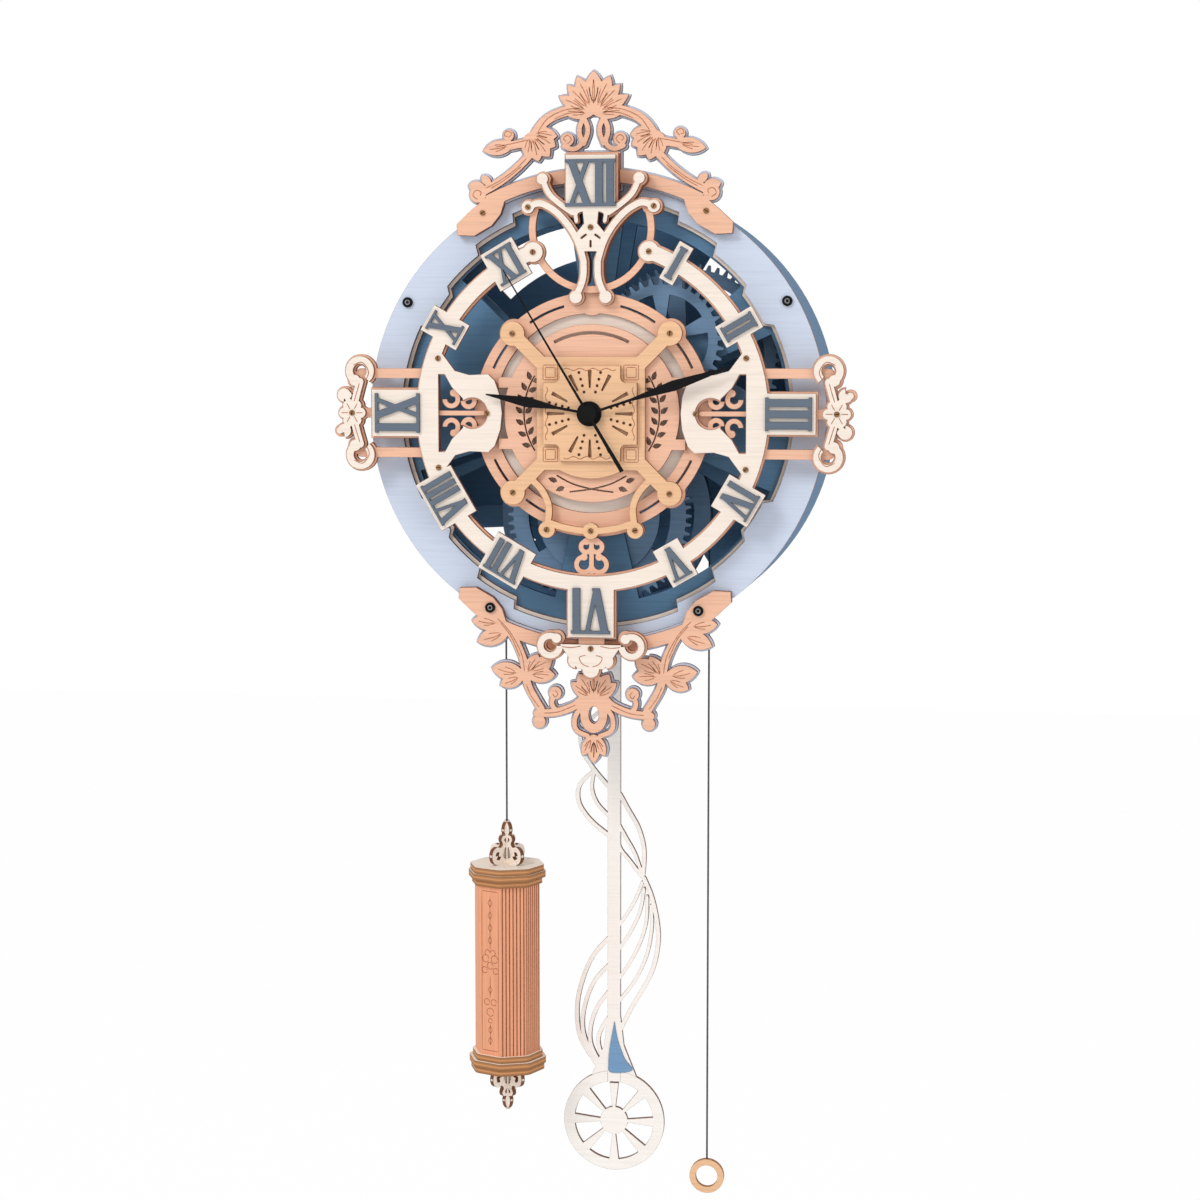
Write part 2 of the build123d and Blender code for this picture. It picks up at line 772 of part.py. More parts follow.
# The chapter ring, its side shields and the numeral plaques; the backing stands out round them.
chapter_out = 107.0
chapter_in = 98.0
chapter_gap = 20.0
chapter_lobe_r = 6.0
backing_lip = 1.2
numeral_thick = 1.6
numeral_orbit = 103.0
numeral_high = 20.6
plaque_edge = 2.2
stem_share = 0.17
hair_share = 0.10
serif_share = 0.07
narrow_share = 0.24
wide_share = 0.62
v_lean_share = 0.32
x_lean_share = 0.30
large_numeral_high = 27.8
side_numeral_orbit = 119.0
foot_numeral_orbit = 119.0
crown_numeral_orbit = 137.0
shield_shares = ((1.0, 0.42), (0.94, 0.38), (0.85, 0.26), (0.76, 0.235), (0.64, 0.24))
shield_nose_shares = ((0.60, 0.20), (0.565, 0.10), (0.555, 0.0))
shield_hole_shares = ((0.955, 0.24), (0.915, 0.24), (0.87, 0.16), (0.80, 0.09))
shield_eye_share = 0.74
shield_eye_r = 9.5


def glyph_widths(text, high):
    """The width of each stroke group in a Roman numeral."""
    return [high * (narrow_share if glyph == "I" else wide_share) for glyph in text]


def numeral_width(text, high):
    """The whole width of a Roman numeral."""
    return sum(glyph_widths(text, high))


def slanted(x_low, x_high, high, width, mode=Mode.ADD):
    """A slanting stroke between the foot and the head of a numeral."""
    Polygon(
        (x_low - width / 2, -high / 2),
        (x_low + width / 2, -high / 2),
        (x_high + width / 2, high / 2),
        (x_high - width / 2, high / 2),
        align=None,
        mode=mode,
    )


def numeral(text, high):
    """A Roman numeral centred on the sketch, as one connected piece with its serifs."""
    left = -numeral_width(text, high) / 2
    stem = stem_share * high
    hair = hair_share * high
    serif = serif_share * high
    width = numeral_width(text, high)
    for glyph, wide in zip(text, glyph_widths(text, high)):
        middle = left + wide / 2
        if glyph == "I":
            slanted(middle, middle, high, stem)
        if glyph == "V":
            slanted(middle, middle - wide * v_lean_share, high, stem)
            slanted(middle, middle + wide * v_lean_share, high, hair)
        if glyph == "X":
            slanted(middle + wide * x_lean_share, middle - wide * x_lean_share, high, stem)
            slanted(middle - wide * x_lean_share, middle + wide * x_lean_share, high, hair)
        left += wide
    with Locations((0, high / 2 - serif / 2)):
        Rectangle(width, serif)
    if "V" not in text:
        with Locations((0, serif / 2 - high / 2)):
            Rectangle(width, serif)


# Every numeral stands radially, its head outwards: text, clock angle, distance, height.
numerals = (
    ("I", 60, numeral_orbit, numeral_high),
    ("II", 30, numeral_orbit, numeral_high),
    ("III", 0, side_numeral_orbit, large_numeral_high),
    ("IV", -30, numeral_orbit, numeral_high),
    ("V", -60, numeral_orbit, numeral_high),
    ("VI", -90, foot_numeral_orbit, large_numeral_high),
    ("VII", -120, numeral_orbit, numeral_high),
    ("VIII", -150, numeral_orbit, numeral_high),
    ("IX", 180, side_numeral_orbit, large_numeral_high),
    ("X", 150, numeral_orbit, numeral_high),
    ("XI", 120, numeral_orbit, numeral_high),
    ("XII", 90, crown_numeral_orbit, large_numeral_high),
)
fork_depth = laurel_depth + ply
chapter_depth = fork_depth
numeral_depth = chapter_depth + ply


def radial_plane(depth, angle, distance):
    """A plane whose up direction points outwards from the hands, at an angle and a distance."""
    x, z = polar(distance, angle)
    out = polar(1, angle)
    return Plane(
        origin=(x, -depth, z - hang_rise),
        x_dir=(out[1], 0, -out[0]),
        z_dir=(0, -1, 0),
    )


def shield(grow, side):
    """One side shield of the chapter ring, drawn inwards to a rounded nose."""
    upper = scaled(shield_shares + shield_nose_shares, side * (chapter_in + grow), chapter_in)
    lower = [(x, -z) for x, z in reversed(upper[:-1])]
    Polygon(*upper, *lower, align=None)


def shield_opening(grow, side):
    """The opening in a side shield: a crescent that runs into a round eye."""
    upper = scaled(shield_hole_shares, side * chapter_in, chapter_in - 2 * grow)
    lower = [(x, -z) for x, z in reversed(upper)]
    Polygon(*upper, *lower, align=None, mode=Mode.SUBTRACT)
    with Locations((side * shield_eye_share * chapter_in, 0)):
        Circle(shield_eye_r - grow, mode=Mode.SUBTRACT)


def plaque_sketch(depth, text, angle, distance, high, grow):
    """The plate behind one numeral."""
    with BuildSketch(radial_plane(depth, angle, distance)) as plate:
        Rectangle(
            numeral_width(text, high) + 2 * (plaque_edge + grow),
            high + 2 * (plaque_edge + grow),
        )
    return plate.sketch


def chapter_layer(grow):
    """The outline shared by the chapter ring and its backing."""
    sector(chapter_in - grow, chapter_out + grow, 90 + chapter_gap, 450 - chapter_gap)
    middle_r = (chapter_in + chapter_out) / 2
    with Locations(polar(middle_r, 90 + chapter_gap), polar(middle_r, 90 - chapter_gap)):
        Circle(chapter_lobe_r + grow)
    for side in (-1, 1):
        shield(grow, side)
        shield_opening(grow, side)


with BuildPart() as chapter_ring:
    with BuildSketch(front(chapter_depth)):
        chapter_layer(0)
    extrude(amount=ply)
    for text, angle, distance, high in numerals[:-1]:
        extrude(plaque_sketch(chapter_depth, text, angle, distance, high, 0), amount=ply)
finish(chapter_ring, "chapter_ring")

# The fork that carries XII: two S-shaped legs, two horns and a web between them.
fork_axis_z = 110.0
fork_leg = ((-38.0, 123.0), (-31.0, 126.0), (-21.5, 121.0), (-13.5, 112.5), (-7.5, 102.5), (-4.3, 91.0))
fork_foot = ((-4.3, 91.0), (-4.2, 80.0), (-9.0, 69.5))
fork_horn = ((-29.2, 139.6), (-25.5, 130.5), (-18.5, 124.5), (-11.0, 119.5))
fork_web = (
    (-5.0, 122.0),
    (5.0, 122.0),
    (4.0, 113.0),
    (9.5, 106.5),
    (4.0, 96.5),
    (-4.0, 96.5),
    (-9.5, 106.5),
    (-4.0, 113.0),
)
fork_curl = ((-4.0, 121.5), (-9.5, 120.0), (-8.6, 114.6))
fork_curl_width = 2.4
fork_leg_width = 4.0
fork_horn_width = 3.4
fork_lobe_r = 3.8
fork_pad_r = 3.4
web_slots = ((-4.2, 105.4, 35), (4.2, 105.4, -35), (0.0, 101.0, 90))
web_slot_long = 4.4
web_slot_width = 1.2
rod_r = 36.0
rod_width = 4.2
rod_end = 70.0
plaque_high = 33.0
plaque_wide = 30.0


def fork_shape(grow):
    """The outline of the fork, wider by grow on every side."""
    for points in (fork_leg, flipped(fork_leg), fork_foot, flipped(fork_foot)):
        band(points, fork_leg_width + 2 * grow)
    for points in (fork_horn, flipped(fork_horn)):
        band(points, fork_horn_width + 2 * grow)
    for points in (fork_curl, flipped(fork_curl)):
        band(points, fork_curl_width + grow)
    with Locations(fork_leg[0], flipped(fork_leg)[0], fork_foot[-1], flipped(fork_foot)[-1]):
        Circle(fork_lobe_r + grow)
    with Locations(fork_horn[0], flipped(fork_horn)[0]):
        Circle(fork_pad_r + grow)
    Polygon(*fork_web, align=None)
    with Locations((0, numerals[-1][2])):
        Rectangle(plaque_wide + 2 * grow, plaque_high + 2 * grow)


with BuildPart() as fork_back:
    with BuildSketch(front(crown_depth + ply)):
        fork_shape(backing_lip)
        Circle(lobe_orbit + ring_lobe_r + side_play / 2, mode=Mode.SUBTRACT)
    extrude(amount=chapter_back_depth - crown_depth - ply)
finish(fork_back, "fork_back")

with BuildPart() as fork_face:
    with BuildSketch(front(fork_depth)):
        fork_shape(0)
        for x, z, tilt in web_slots:
            with Locations(Location((x, z), tilt)):
                SlotOverall(web_slot_long, web_slot_width, mode=Mode.SUBTRACT)
    extrude(amount=ply)
finish(fork_face, "fork_face")

# Scrolls and flowers: the backing layer carries them beyond the chapter ring.
scroll_wide = 3.0
scroll_r = 4.6
side_bar_rise = 24.0
side_bar_width = 6.0
side_scroll = (142.5, 25.5)
side_scroll_r = 6.6
side_scroll_width = 4.6
side_scroll_start = 50
side_scroll_sweep = 290
small_scroll = (152.5, 10.8)
small_scroll_r = 2.8
small_scroll_width = 2.8
small_scroll_sweep = 270
flower_x = 147.5
petal_orbit = 5.2
petal_r = 3.2
petal_count = 6
cartouche_z = -141.5
cartouche_scroll = (25.0, 1.0)
cartouche_scroll_r = 6.0
cartouche_scroll_sweep = 310
cartouche_neck = 16.0
cartouche_width = 4.0
inner_scroll = (9.5, -8.0)
inner_scroll_r = 3.0
inner_scroll_sweep = 250
cartouche_body = ((-19.0, 2.0), (19.0, 2.0), (13.0, -7.0), (8.0, -13.0), (-8.0, -13.0), (-13.0, -7.0))
pendant_shares = ((0.0, -0.71), (0.0, -0.98))
shield_scroll_shares = ((0.88, 0.085), (0.77, 0.075))
shield_stem_share = 0.68
pendant_scroll_shares = ((-0.93, 1.0), (-0.82, 0.7))


def side_ornament(side, grow):
    """The flower and four scrolls beside IX or III."""
    with Locations((side * flower_x, 0)):
        Circle(petal_orbit + grow)
        with PolarLocations(petal_orbit, petal_count):
            Circle(petal_r + grow)
    for up in (-1, 1):
        x, z = side * side_scroll[0], up * side_scroll[1]
        start, turn = (180, 1) if side > 0 else (0, -1)
        curl(
            x,
            z,
            side_scroll_r,
            side_scroll_width + 2 * grow,
            start + side_scroll_start * turn * up,
            -side_scroll_sweep * turn * up,
        )
        band(
            [
                (side * flower_x, 0),
                (side * (flower_x - petal_r), up * side_scroll[1] / 2),
                (x, z - up * side_scroll_r),
            ],
            side_scroll_width + 2 * grow,
        )
        x, z = side * small_scroll[0], up * small_scroll[1]
        curl(
            x,
            z,
            small_scroll_r,
            small_scroll_width + 2 * grow,
            180 - 90 * turn,
            small_scroll_sweep * turn * up,
        )
        band([(x, z), (side * flower_x, up * petal_orbit)], small_scroll_width + 2 * grow)


def cartouche(grow):
    """The scrolled plate under VI."""
    points = [(x, z + cartouche_z) for x, z in cartouche_body]
    Polygon(*points, align=None)
    if grow > 0:
        with Locations((0, cartouche_z + cartouche_neck / 2)):
            Rectangle(cartouche_neck, cartouche_neck)
    for side in (-1, 1):
        x, z = side * cartouche_scroll[0], cartouche_z + cartouche_scroll[1]
        curl(
            x,
            z,
            cartouche_scroll_r,
            cartouche_width + 2 * grow,
            90 + side * 90,
            side * cartouche_scroll_sweep,
        )
        x, z = side * inner_scroll[0], cartouche_z + inner_scroll[1]
        curl(x, z, inner_scroll_r, scroll_wide + 2 * grow, -90, side * inner_scroll_sweep)
    with Locations((0, cartouche_z + cartouche_body[3][1])):
        Circle(petal_orbit + grow)


with BuildPart() as chapter_backing:
    with BuildSketch(front(chapter_back_depth)):
        chapter_layer(backing_lip)
        fork_shape(backing_lip)
        curl(0, fork_axis_z, rod_r, rod_width, 90 + rod_end, 360 - 2 * rod_end)
        for side in (-1, 1):
            side_ornament(side, backing_lip)
            middle_x = side * (numerals[2][2] + flower_x) / 2
            with Locations((middle_x, 0)):
                Rectangle(flower_x - numerals[2][2], scroll_wide * 2)
            for rise in (side_bar_rise, -side_bar_rise):
                band([(side * chapter_in, rise), (side * side_scroll[0], rise)], side_bar_width)
            for share, rise_share in shield_scroll_shares:
                for up in (-1, 1):
                    x, z = side * share * chapter_in, up * rise_share * chapter_in
                    sweep = -side * up * inner_scroll_sweep
                    curl(x, z, scroll_r * share, scroll_wide, 90 - 90 * side, sweep)
            band([(side * chapter_in, 0), (side * shield_hole_shares[3][0] * chapter_in, 0)], scroll_wide)
            band([(side * chapter_in, 0), (side * shield_stem_share * chapter_in, 0)], scroll_wide)
        band(scaled(pendant_shares, 1, chapter_in), scroll_wide)
        for side in (-1, 1):
            for share, radius_share in pendant_scroll_shares:
                curl(
                    side * scroll_r * radius_share,
                    share * chapter_in,
                    scroll_r * radius_share,
                    scroll_wide,
                    90 + 90 * side,
                    side * small_scroll_sweep,
                )
        cartouche(backing_lip)
    extrude(amount=ply)
    for text, angle, distance, high in (numerals[2], numerals[5], numerals[8]):
        extrude(
            plaque_sketch(chapter_back_depth, text, angle, distance, high, backing_lip), amount=ply
        )
finish(chapter_backing, "chapter_backing")

with BuildPart() as cream_scrolls:
    with BuildSketch(front(chapter_depth)):
        side_ornament(-1, 0)
        side_ornament(1, 0)
        cartouche(0)
        with Locations((0, -numerals[5][2])):
            Rectangle(plaque_wide + fit_play, plaque_high + fit_play, mode=Mode.SUBTRACT)
    extrude(amount=ply)
finish(cream_scrolls, "cream_scrolls")

with BuildPart() as numeral_set:
    for text, angle, distance, high in numerals:
        with BuildSketch(radial_plane(numeral_depth, angle, distance)):
            numeral(text, high)
    extrude(amount=numeral_thick)
finish(numeral_set, "numeral_set")

# The crown and the lower ornament: each a cut front on a slightly wider backing.
frame_band_in = 138.5
frame_band_out = 146.5
frame_band_half = 27.0
end_pad_angles = (23.0, 25.5, 29.0, 34.5, 38.0, 36.5, 31.5, 26.0)
end_pad_radii = (139.0, 132.5, 129.0, 129.5, 136.0, 141.5, 143.5, 146.0)


def petal(x, z, tilt, long, wide):
    """One pointed leaf, from its root at a point, in the direction tilt."""
    along = polar(long, tilt)
    across = polar(wide / 2, tilt + 90)
    with BuildLine() as edge:
        middle = (x + along[0] / 2, z + along[1] / 2)
        tip = (x + along[0], z + along[1])
        ThreePointArc((x, z), (middle[0] + across[0], middle[1] + across[1]), tip)
        ThreePointArc(tip, (middle[0] - across[0], middle[1] - across[1]), (x, z))
    make_face(edge.edges())


def frame_band(middle, grow):
    """The arc of the frame ornament, with a widened pad at each end."""
    half = frame_band_half
    sector(frame_band_in - grow, frame_band_out + grow, middle - half, middle + half)
    for side in (-1, 1):
        points = []
        for angle, radius in zip(end_pad_angles, end_pad_radii):
            points.append(polar(radius, middle + side * angle))
        Polygon(*points, align=None)


fan_root = (0.0, 178.0)
fan_leaves = ((90, 26, 12), (66, 25, 10), (48, 24, 9), (28, 24, 8.5), (8, 20, 8))
crown_arch = ((0.0, 181.0), (-16.0, 181.0), (-29.0, 176.0), (-36.0, 167.0), (-38.0, 158.0))
crown_arch_width = 6.0
acanthus_root = (-39.0, 168.0)
acanthus_leaves = ((-8, 17, 9), (-28, 18, 10), (-50, 19, 10), (-72, 18, 10), (-95, 15, 9))
crown_curl = (-52.0, 166.5)
crown_curl_r = 3.4
upper_horn = ((-36.0, 163.0), (-50.0, 160.5), (-63.0, 158.0))
lower_horn = ((-37.0, 157.0), (-46.0, 147.5), (-57.0, 139.0), (-71.0, 131.5))
horn_leaf = ((-48.0, 161.0, 190, 20, 9), (-63.0, 137.0, 135, 8, 5), (-66.0, 135.0, 170, 11, 7))
horn_width = 5.0
horn_eye_r = 5.0
crown_scroll = ((-5.5, 178.0), (-9.5, 169.0), (-6.5, 161.0), (-12.0, 157.0), (-18.0, 159.5))
crown_lens = ((-7.0, 178.0), (-2.6, 169.5), (-6.0, 161.0))
crown_eye = (-16.0, 163.5)
crown_eye_r = 4.0
crown_plaque_z = 145.0
crown_plaque_high = 22.0


def crown_shape(grow):
    """The crown: a leaf fan on an arch, scrolls, acanthus leaves and two pairs of horns."""
    frame_band(90, grow)
    for side in (-1, 1):
        for tilt, long, wide in fan_leaves:
            angle = tilt if side > 0 else 180 - tilt
            petal(*fan_root, angle, long + grow, wide + 2 * grow)
        for tilt, long, wide in acanthus_leaves:
            angle = tilt if side < 0 else 180 - tilt
            petal(-side * acanthus_root[0], acanthus_root[1], angle, long + grow, wide + 2 * grow)
        for x, z, tilt, long, wide in horn_leaf:
            angle = tilt if side < 0 else 180 - tilt
            petal(-side * x, z, angle, long + grow, wide + 2 * grow)
        for points, width in (
            (crown_arch, crown_arch_width),
            (upper_horn, horn_width),
            (lower_horn, horn_width),
            (crown_scroll, scroll_wide),
            (crown_lens, scroll_wide),
        ):
            band(points if side < 0 else flipped(points), width + 2 * grow)
        x = -side * crown_curl[0]
        band([(x, crown_curl[1]), (x, upper_horn[1][1])], crown_curl_r + 2 * grow)
        with Locations((x, crown_curl[1])):
            Circle(crown_curl_r + grow)
        with Locations((-side * lower_horn[-1][0], lower_horn[-1][1])):
            Circle(horn_eye_r + grow)
        with Locations((-side * crown_eye[0], crown_eye[1])):
            Circle(crown_eye_r + grow)
    with Locations((0, crown_plaque_z)):
        Rectangle(plaque_wide + 2 * backing_lip + 2 * grow, crown_plaque_high + 2 * grow)


with BuildPart() as crown_backing:
    with BuildSketch(front(crown_back_depth)):
        crown_shape(backing_lip)
    extrude(amount=ply)
finish(crown_backing, "crown_backing")

with BuildPart() as crown:
    with BuildSketch(front(crown_depth)):
        crown_shape(0)
    extrude(amount=ply)
finish(crown, "crown")

foot_stem = ((-64.0, -122.0), (-51.0, -134.0), (-43.0, -152.0), (-42.0, -166.0), (-33.0, -181.0))
foot_branch = ((-35.0, -184.0), (-22.0, -183.0), (-10.0, -178.0), (-4.0, -170.0))
foot_curls = ((-24.0, -171.0, 4.0), (-34.0, -189.0, 4.0))
foot_curl_link = ((-24.0, -171.0), (-27.0, -178.0), (-22.0, -183.0))
foot_leaves = (
    (-52.0, -133.0, 200, 22, 11),
    (-56.0, -129.0, 175, 20, 10),
    (-43.0, -160.0, 170, 21, 11),
    (-43.0, -160.0, 205, 17, 9),
    (-43.0, -160.0, 30, 20, 11),
    (-43.0, -160.0, 0, 19, 10),
    (-43.0, -162.0, 60, 17, 9),
)
tail_leaves = ((60, 19, 10), (90, 20, 10), (38, 18, 8))
foot_oval = (0.0, -184.0)
foot_oval_wide = 5.4
foot_oval_high = 8.2
foot_hole_wide = 3.2
foot_hole_high = 5.4
tail_root = (0.0, -196.0)
tail_tips = ((-90, 18, 8), (-62, 15, 7), (-118, 15, 7))
tail_scroll = ((-3.0, -176.0), (-12.0, -184.0), (-12.0, -194.0), (-4.0, -197.0))


def foot_shape(grow):
    """The lower ornament: an arc with two leafy stems that meet round an oval."""
    frame_band(270, grow)
    for side in (-1, 1):
        for points, width in (
            (foot_stem, horn_width),
            (foot_branch, horn_width),
            (foot_curl_link, scroll_wide),
            (tail_scroll, scroll_wide),
        ):
            band(points if side < 0 else flipped(points), width + 2 * grow)
        for x, z, radius in foot_curls:
            with Locations((-side * x, z)):
                Circle(radius + grow)
        for x, z, tilt, long, wide in foot_leaves:
            angle = tilt if side < 0 else 180 - tilt
            petal(-side * x, z, angle, long + grow, wide + 2 * grow)
        for tilt, long, wide in tail_leaves:
            angle = tilt if side > 0 else 180 - tilt
            petal(0, foot_branch[-1][1] - petal_orbit, angle, long + grow, wide + 2 * grow)
    for tilt, long, wide in tail_tips:
        petal(*tail_root, tilt, long + grow, wide + 2 * grow)
    with Locations(foot_oval):
        Ellipse(foot_oval_wide + scroll_wide + grow, foot_oval_high + scroll_wide + grow)
        Ellipse(foot_hole_wide - grow / 2, foot_hole_high - grow / 2, mode=Mode.SUBTRACT)


with BuildPart() as lower_ornament_backing:
    with BuildSketch(front(crown_back_depth)):
        foot_shape(backing_lip)
    extrude(amount=ply)
finish(lower_ornament_backing, "lower_ornament_backing")

with BuildPart() as lower_ornament:
    with BuildSketch(front(crown_depth)):
        foot_shape(0)
    extrude(amount=ply)
finish(lower_ornament, "lower_ornament")

# The hands: dark lozenges on long stems.
hour_hand_long = 64.0
minute_hand_long = 90.0
second_hand_long = 100.0
second_tail = 40.0
hour_rest = 169.7
minute_rest = 18.2
second_rest = 121.0
lozenge_share = 0.60
lozenge_half = 3.2
blade_half = 0.8
hand_tip_half = 0.4
hour_boss_r = 7.5
minute_boss_r = 6.0
second_boss_r = 5.0


def hand(depth, angle, long, boss_r, hole_r):
    """A lozenge hand with a round boss on its tube."""
    outline = (
        (-blade_half, 0),
        (-blade_half, long * lozenge_share / 2),
        (-lozenge_half, long * lozenge_share),
        (-hand_tip_half, long),
        (hand_tip_half, long),
        (lozenge_half, long * lozenge_share),
        (blade_half, long * lozenge_share / 2),
        (blade_half, 0),
    )
    with BuildSketch(radial_plane(depth, angle, 0)) as blade:
        Polygon(*outline, align=None)
        Circle(boss_r)
        Circle(hole_r, mode=Mode.SUBTRACT)
    return blade.sketch


with BuildPart() as hour_hand:
    extrude(hand(hour_hand_depth, hour_rest, hour_hand_long, hour_boss_r, hour_tube_r), amount=hand_thick)
finish(hour_hand, "hour_hand")

with BuildPart() as minute_hand:
    extrude(
        hand(minute_hand_depth, minute_rest, minute_hand_long, minute_boss_r, minute_tube_r),
        amount=hand_thick,
    )
finish(minute_hand, "minute_hand")

second_tip_half = 0.3
tail_half = 1.2

with BuildPart() as second_hand:
    with BuildSketch(radial_plane(second_hand_depth, second_rest, 0)):
        Polygon(
            (-tail_half, -second_tail),
            (tail_half, -second_tail),
            (blade_half, 0),
            (second_tip_half, second_hand_long),
            (-second_tip_half, second_hand_long),
            (-blade_half, 0),
            align=None,
        )
        Circle(second_boss_r)
        Circle(second_arbor_r, mode=Mode.SUBTRACT)
    extrude(amount=hand_thick)
finish(second_hand, "second_hand")

# The pendulum hangs on the anchor's arbor, between the back plate and the sheave.
rod_half = 4.2
rod_top_r = 7.0
rod_end_z = -430.0
ribbon_width = 4.2
bob_z = -462.0
bob_r = 33.0
bob_rim = 7.0
bob_hub = 9.0
bob_windows = 8
flare = ((4.2, -392.0), (6.5, -412.0), (15.0, -433.0))
ribbon_right_low = ((2.0, -275.0), (24.0, -300.0), (35.0, -330.0), (30.0, -365.0), (3.0, -405.0))
ribbon_left_low = ((-2.0, -305.0), (-21.0, -335.0), (-27.0, -365.0), (-20.0, -400.0), (-2.0, -425.0))
ribbon_right_high = ((0.0, -205.0), (12.0, -225.0), (17.0, -250.0), (17.0, -275.0), (3.0, -300.0))
ribbon_left_high = ((-2.0, -195.0), (-20.0, -208.0), (-24.0, -225.0), (-17.0, -245.0), (-2.0, -262.0))
inner_ribbon_share = 0.55

with BuildPart() as pendulum_rod:
    with BuildSketch(front(pendulum_depth)):
        Polygon(*flare, *[(-x, z) for x, z in reversed(flare)], align=None)
        with Locations((0, bob_z)):
            Circle(bob_r, mode=Mode.SUBTRACT)
        with Locations((0, (anchor_z + rod_end_z) / 2)):
            Rectangle(2 * rod_half, anchor_z - rod_end_z)
        with Locations((0, anchor_z)):
            Circle(rod_top_r)
        for points in (ribbon_right_low, ribbon_left_low, ribbon_right_high, ribbon_left_high):
            band(points, ribbon_width)
            inner = [points[0]] + [(x * inner_ribbon_share, z) for x, z in points[1:-1]] + [points[-1]]
            band(inner, ribbon_width)
        with Locations((0, anchor_z)):
            Circle(arbor_r, mode=Mode.SUBTRACT)
    extrude(amount=ply)
finish(pendulum_rod, "pendulum_rod")

with BuildPart() as pendulum_bob:
    with BuildSketch(front(pendulum_depth, 0, bob_z)):
        Circle(bob_r)
        windows(bob_hub, bob_r - bob_rim, bob_windows, arm_share)
        with Locations((0, rod_end_z - bob_z)):
            Rectangle(2 * rod_half, 2 * bob_rim, mode=Mode.SUBTRACT)
    extrude(amount=ply)
finish(pendulum_bob, "pendulum_bob")

# The driving weight: an octagonal shell round a steel core, with capped ends and finials.
cord_plane = sheave_depth + 1.5 * sheave_ply
cord_x = sheave_r + cord_r + shaft_play
weight_across = 39.0
weight_wall = 3.0
weight_top_z = -300.0
weight_bottom_z = -409.0
cap_r = 23.5
cap_step = 2.0
cap_ply = 4.0
core_r = 14.0
finial_high = 28.0
finial_half = 13.0
finial_ply = 3.0
octagon_turn = 22.5


def octagon(z, across):
    """An octagon about the weight's cord, flat faces to the front and sides."""
    with BuildSketch(Plane.XY.offset(z - hang_rise)) as section:
        with Locations((-cord_x, -cord_plane)):
            RegularPolygon(across / 2, 8, major_radius=False, rotation=octagon_turn)
    return section.sketch


with BuildPart() as weight_shell:
    extrude(octagon(weight_bottom_z, weight_across), amount=weight_top_z - weight_bottom_z)
    extrude(
        octagon(weight_bottom_z, weight_across - 2 * weight_wall),
        amount=weight_top_z - weight_bottom_z,
        mode=Mode.SUBTRACT,
    )
finish(weight_shell, "weight_shell")

with BuildPart() as weight_core:
    with BuildSketch(Plane.XY.offset(weight_bottom_z - hang_rise)):
        with Locations((-cord_x, -cord_plane)):
            Circle(core_r)
    extrude(amount=weight_top_z - weight_bottom_z)
finish(weight_core, "weight_core")

with BuildPart() as weight_caps:
    for layer, across in enumerate((2 * cap_r - 2 * cap_step, 2 * cap_r, 2 * cap_r - cap_step)):
        extrude(octagon(weight_top_z + layer * cap_ply, across), amount=cap_ply)
        extrude(octagon(weight_bottom_z - layer * cap_ply, across), amount=-cap_ply)
finish(weight_caps, "weight_caps")

finial_outline_shares = (
    (0.0, 0.0),
    (0.75, 0.0),
    (1.0, 0.15),
    (0.95, 0.38),
    (0.62, 0.52),
    (0.50, 0.62),
    (0.22, 0.70),
    (0.20, 0.86),
    (0.0, 1.0),
)


def finial_plate(base, up):
    """Half of a finial plate: its outline against the cord's line."""
    Polygon(*scaled(finial_outline_shares, finial_half, up * finial_high, 0, base), align=None)


with BuildPart() as weight_finials:
    for base, up in ((weight_top_z + 3 * cap_ply, 1), (weight_bottom_z - 3 * cap_ply, -1)):
        with BuildSketch(front(cord_plane - finial_ply / 2, -cord_x)):
            finial_plate(base, up)
            mirror(about=Plane.YZ)
        extrude(amount=finial_ply)
        side_plane = Plane(
            origin=(-cord_x - finial_ply / 2, -cord_plane, -hang_rise), x_dir=(0, 1, 0), z_dir=(1, 0, 0)
        )
        with BuildSketch(side_plane):
            finial_plate(base, up)
            mirror(about=Plane.YZ)
        extrude(amount=finial_ply)
finish(weight_finials, "weight_finials")

# The cord runs over the sheave: the weight on the left, the pull ring on the right.
cord_sides = 6
ring_r = 9.0
ring_wire = 2.0
pull_ring_z = -486.0
finial_top_z = weight_top_z + 3 * cap_ply + finial_high


with BuildPart() as weight_cord:
    with BuildSketch(Plane(origin=(-cord_x, -cord_plane, finial_top_z - hang_rise))):
        RegularPolygon(cord_r, cord_sides)
    extrude(amount=great_z - finial_top_z)
finish(weight_cord, "weight_cord")

ring_top_z = pull_ring_z + ring_r + ring_wire

with BuildPart() as pull_cord:
    with BuildSketch(Plane(origin=(cord_x, -cord_plane, ring_top_z - hang_rise))):
        RegularPolygon(cord_r, cord_sides)
    extrude(amount=great_z - ring_top_z)
finish(pull_cord, "pull_cord")

with BuildPart() as pull_ring:
    with BuildSketch(front(cord_plane - ply / 2, cord_x, pull_ring_z)):
        Circle(ring_r + ring_wire)
        Circle(ring_r - ring_wire, mode=Mode.SUBTRACT)
    extrude(amount=ply)
finish(pull_ring, "pull_ring")

with BuildPart() as sheave_cord:
    with BuildSketch(Plane(origin=(cord_x, -cord_plane, great_z - hang_rise), z_dir=(0, 0, 1))):
        RegularPolygon(cord_r, cord_sides)
    revolve(axis=Axis((0, -cord_plane, great_z - hang_rise), (0, -1, 0)), revolution_arc=180)
finish(sheave_cord, "sheave_cord")

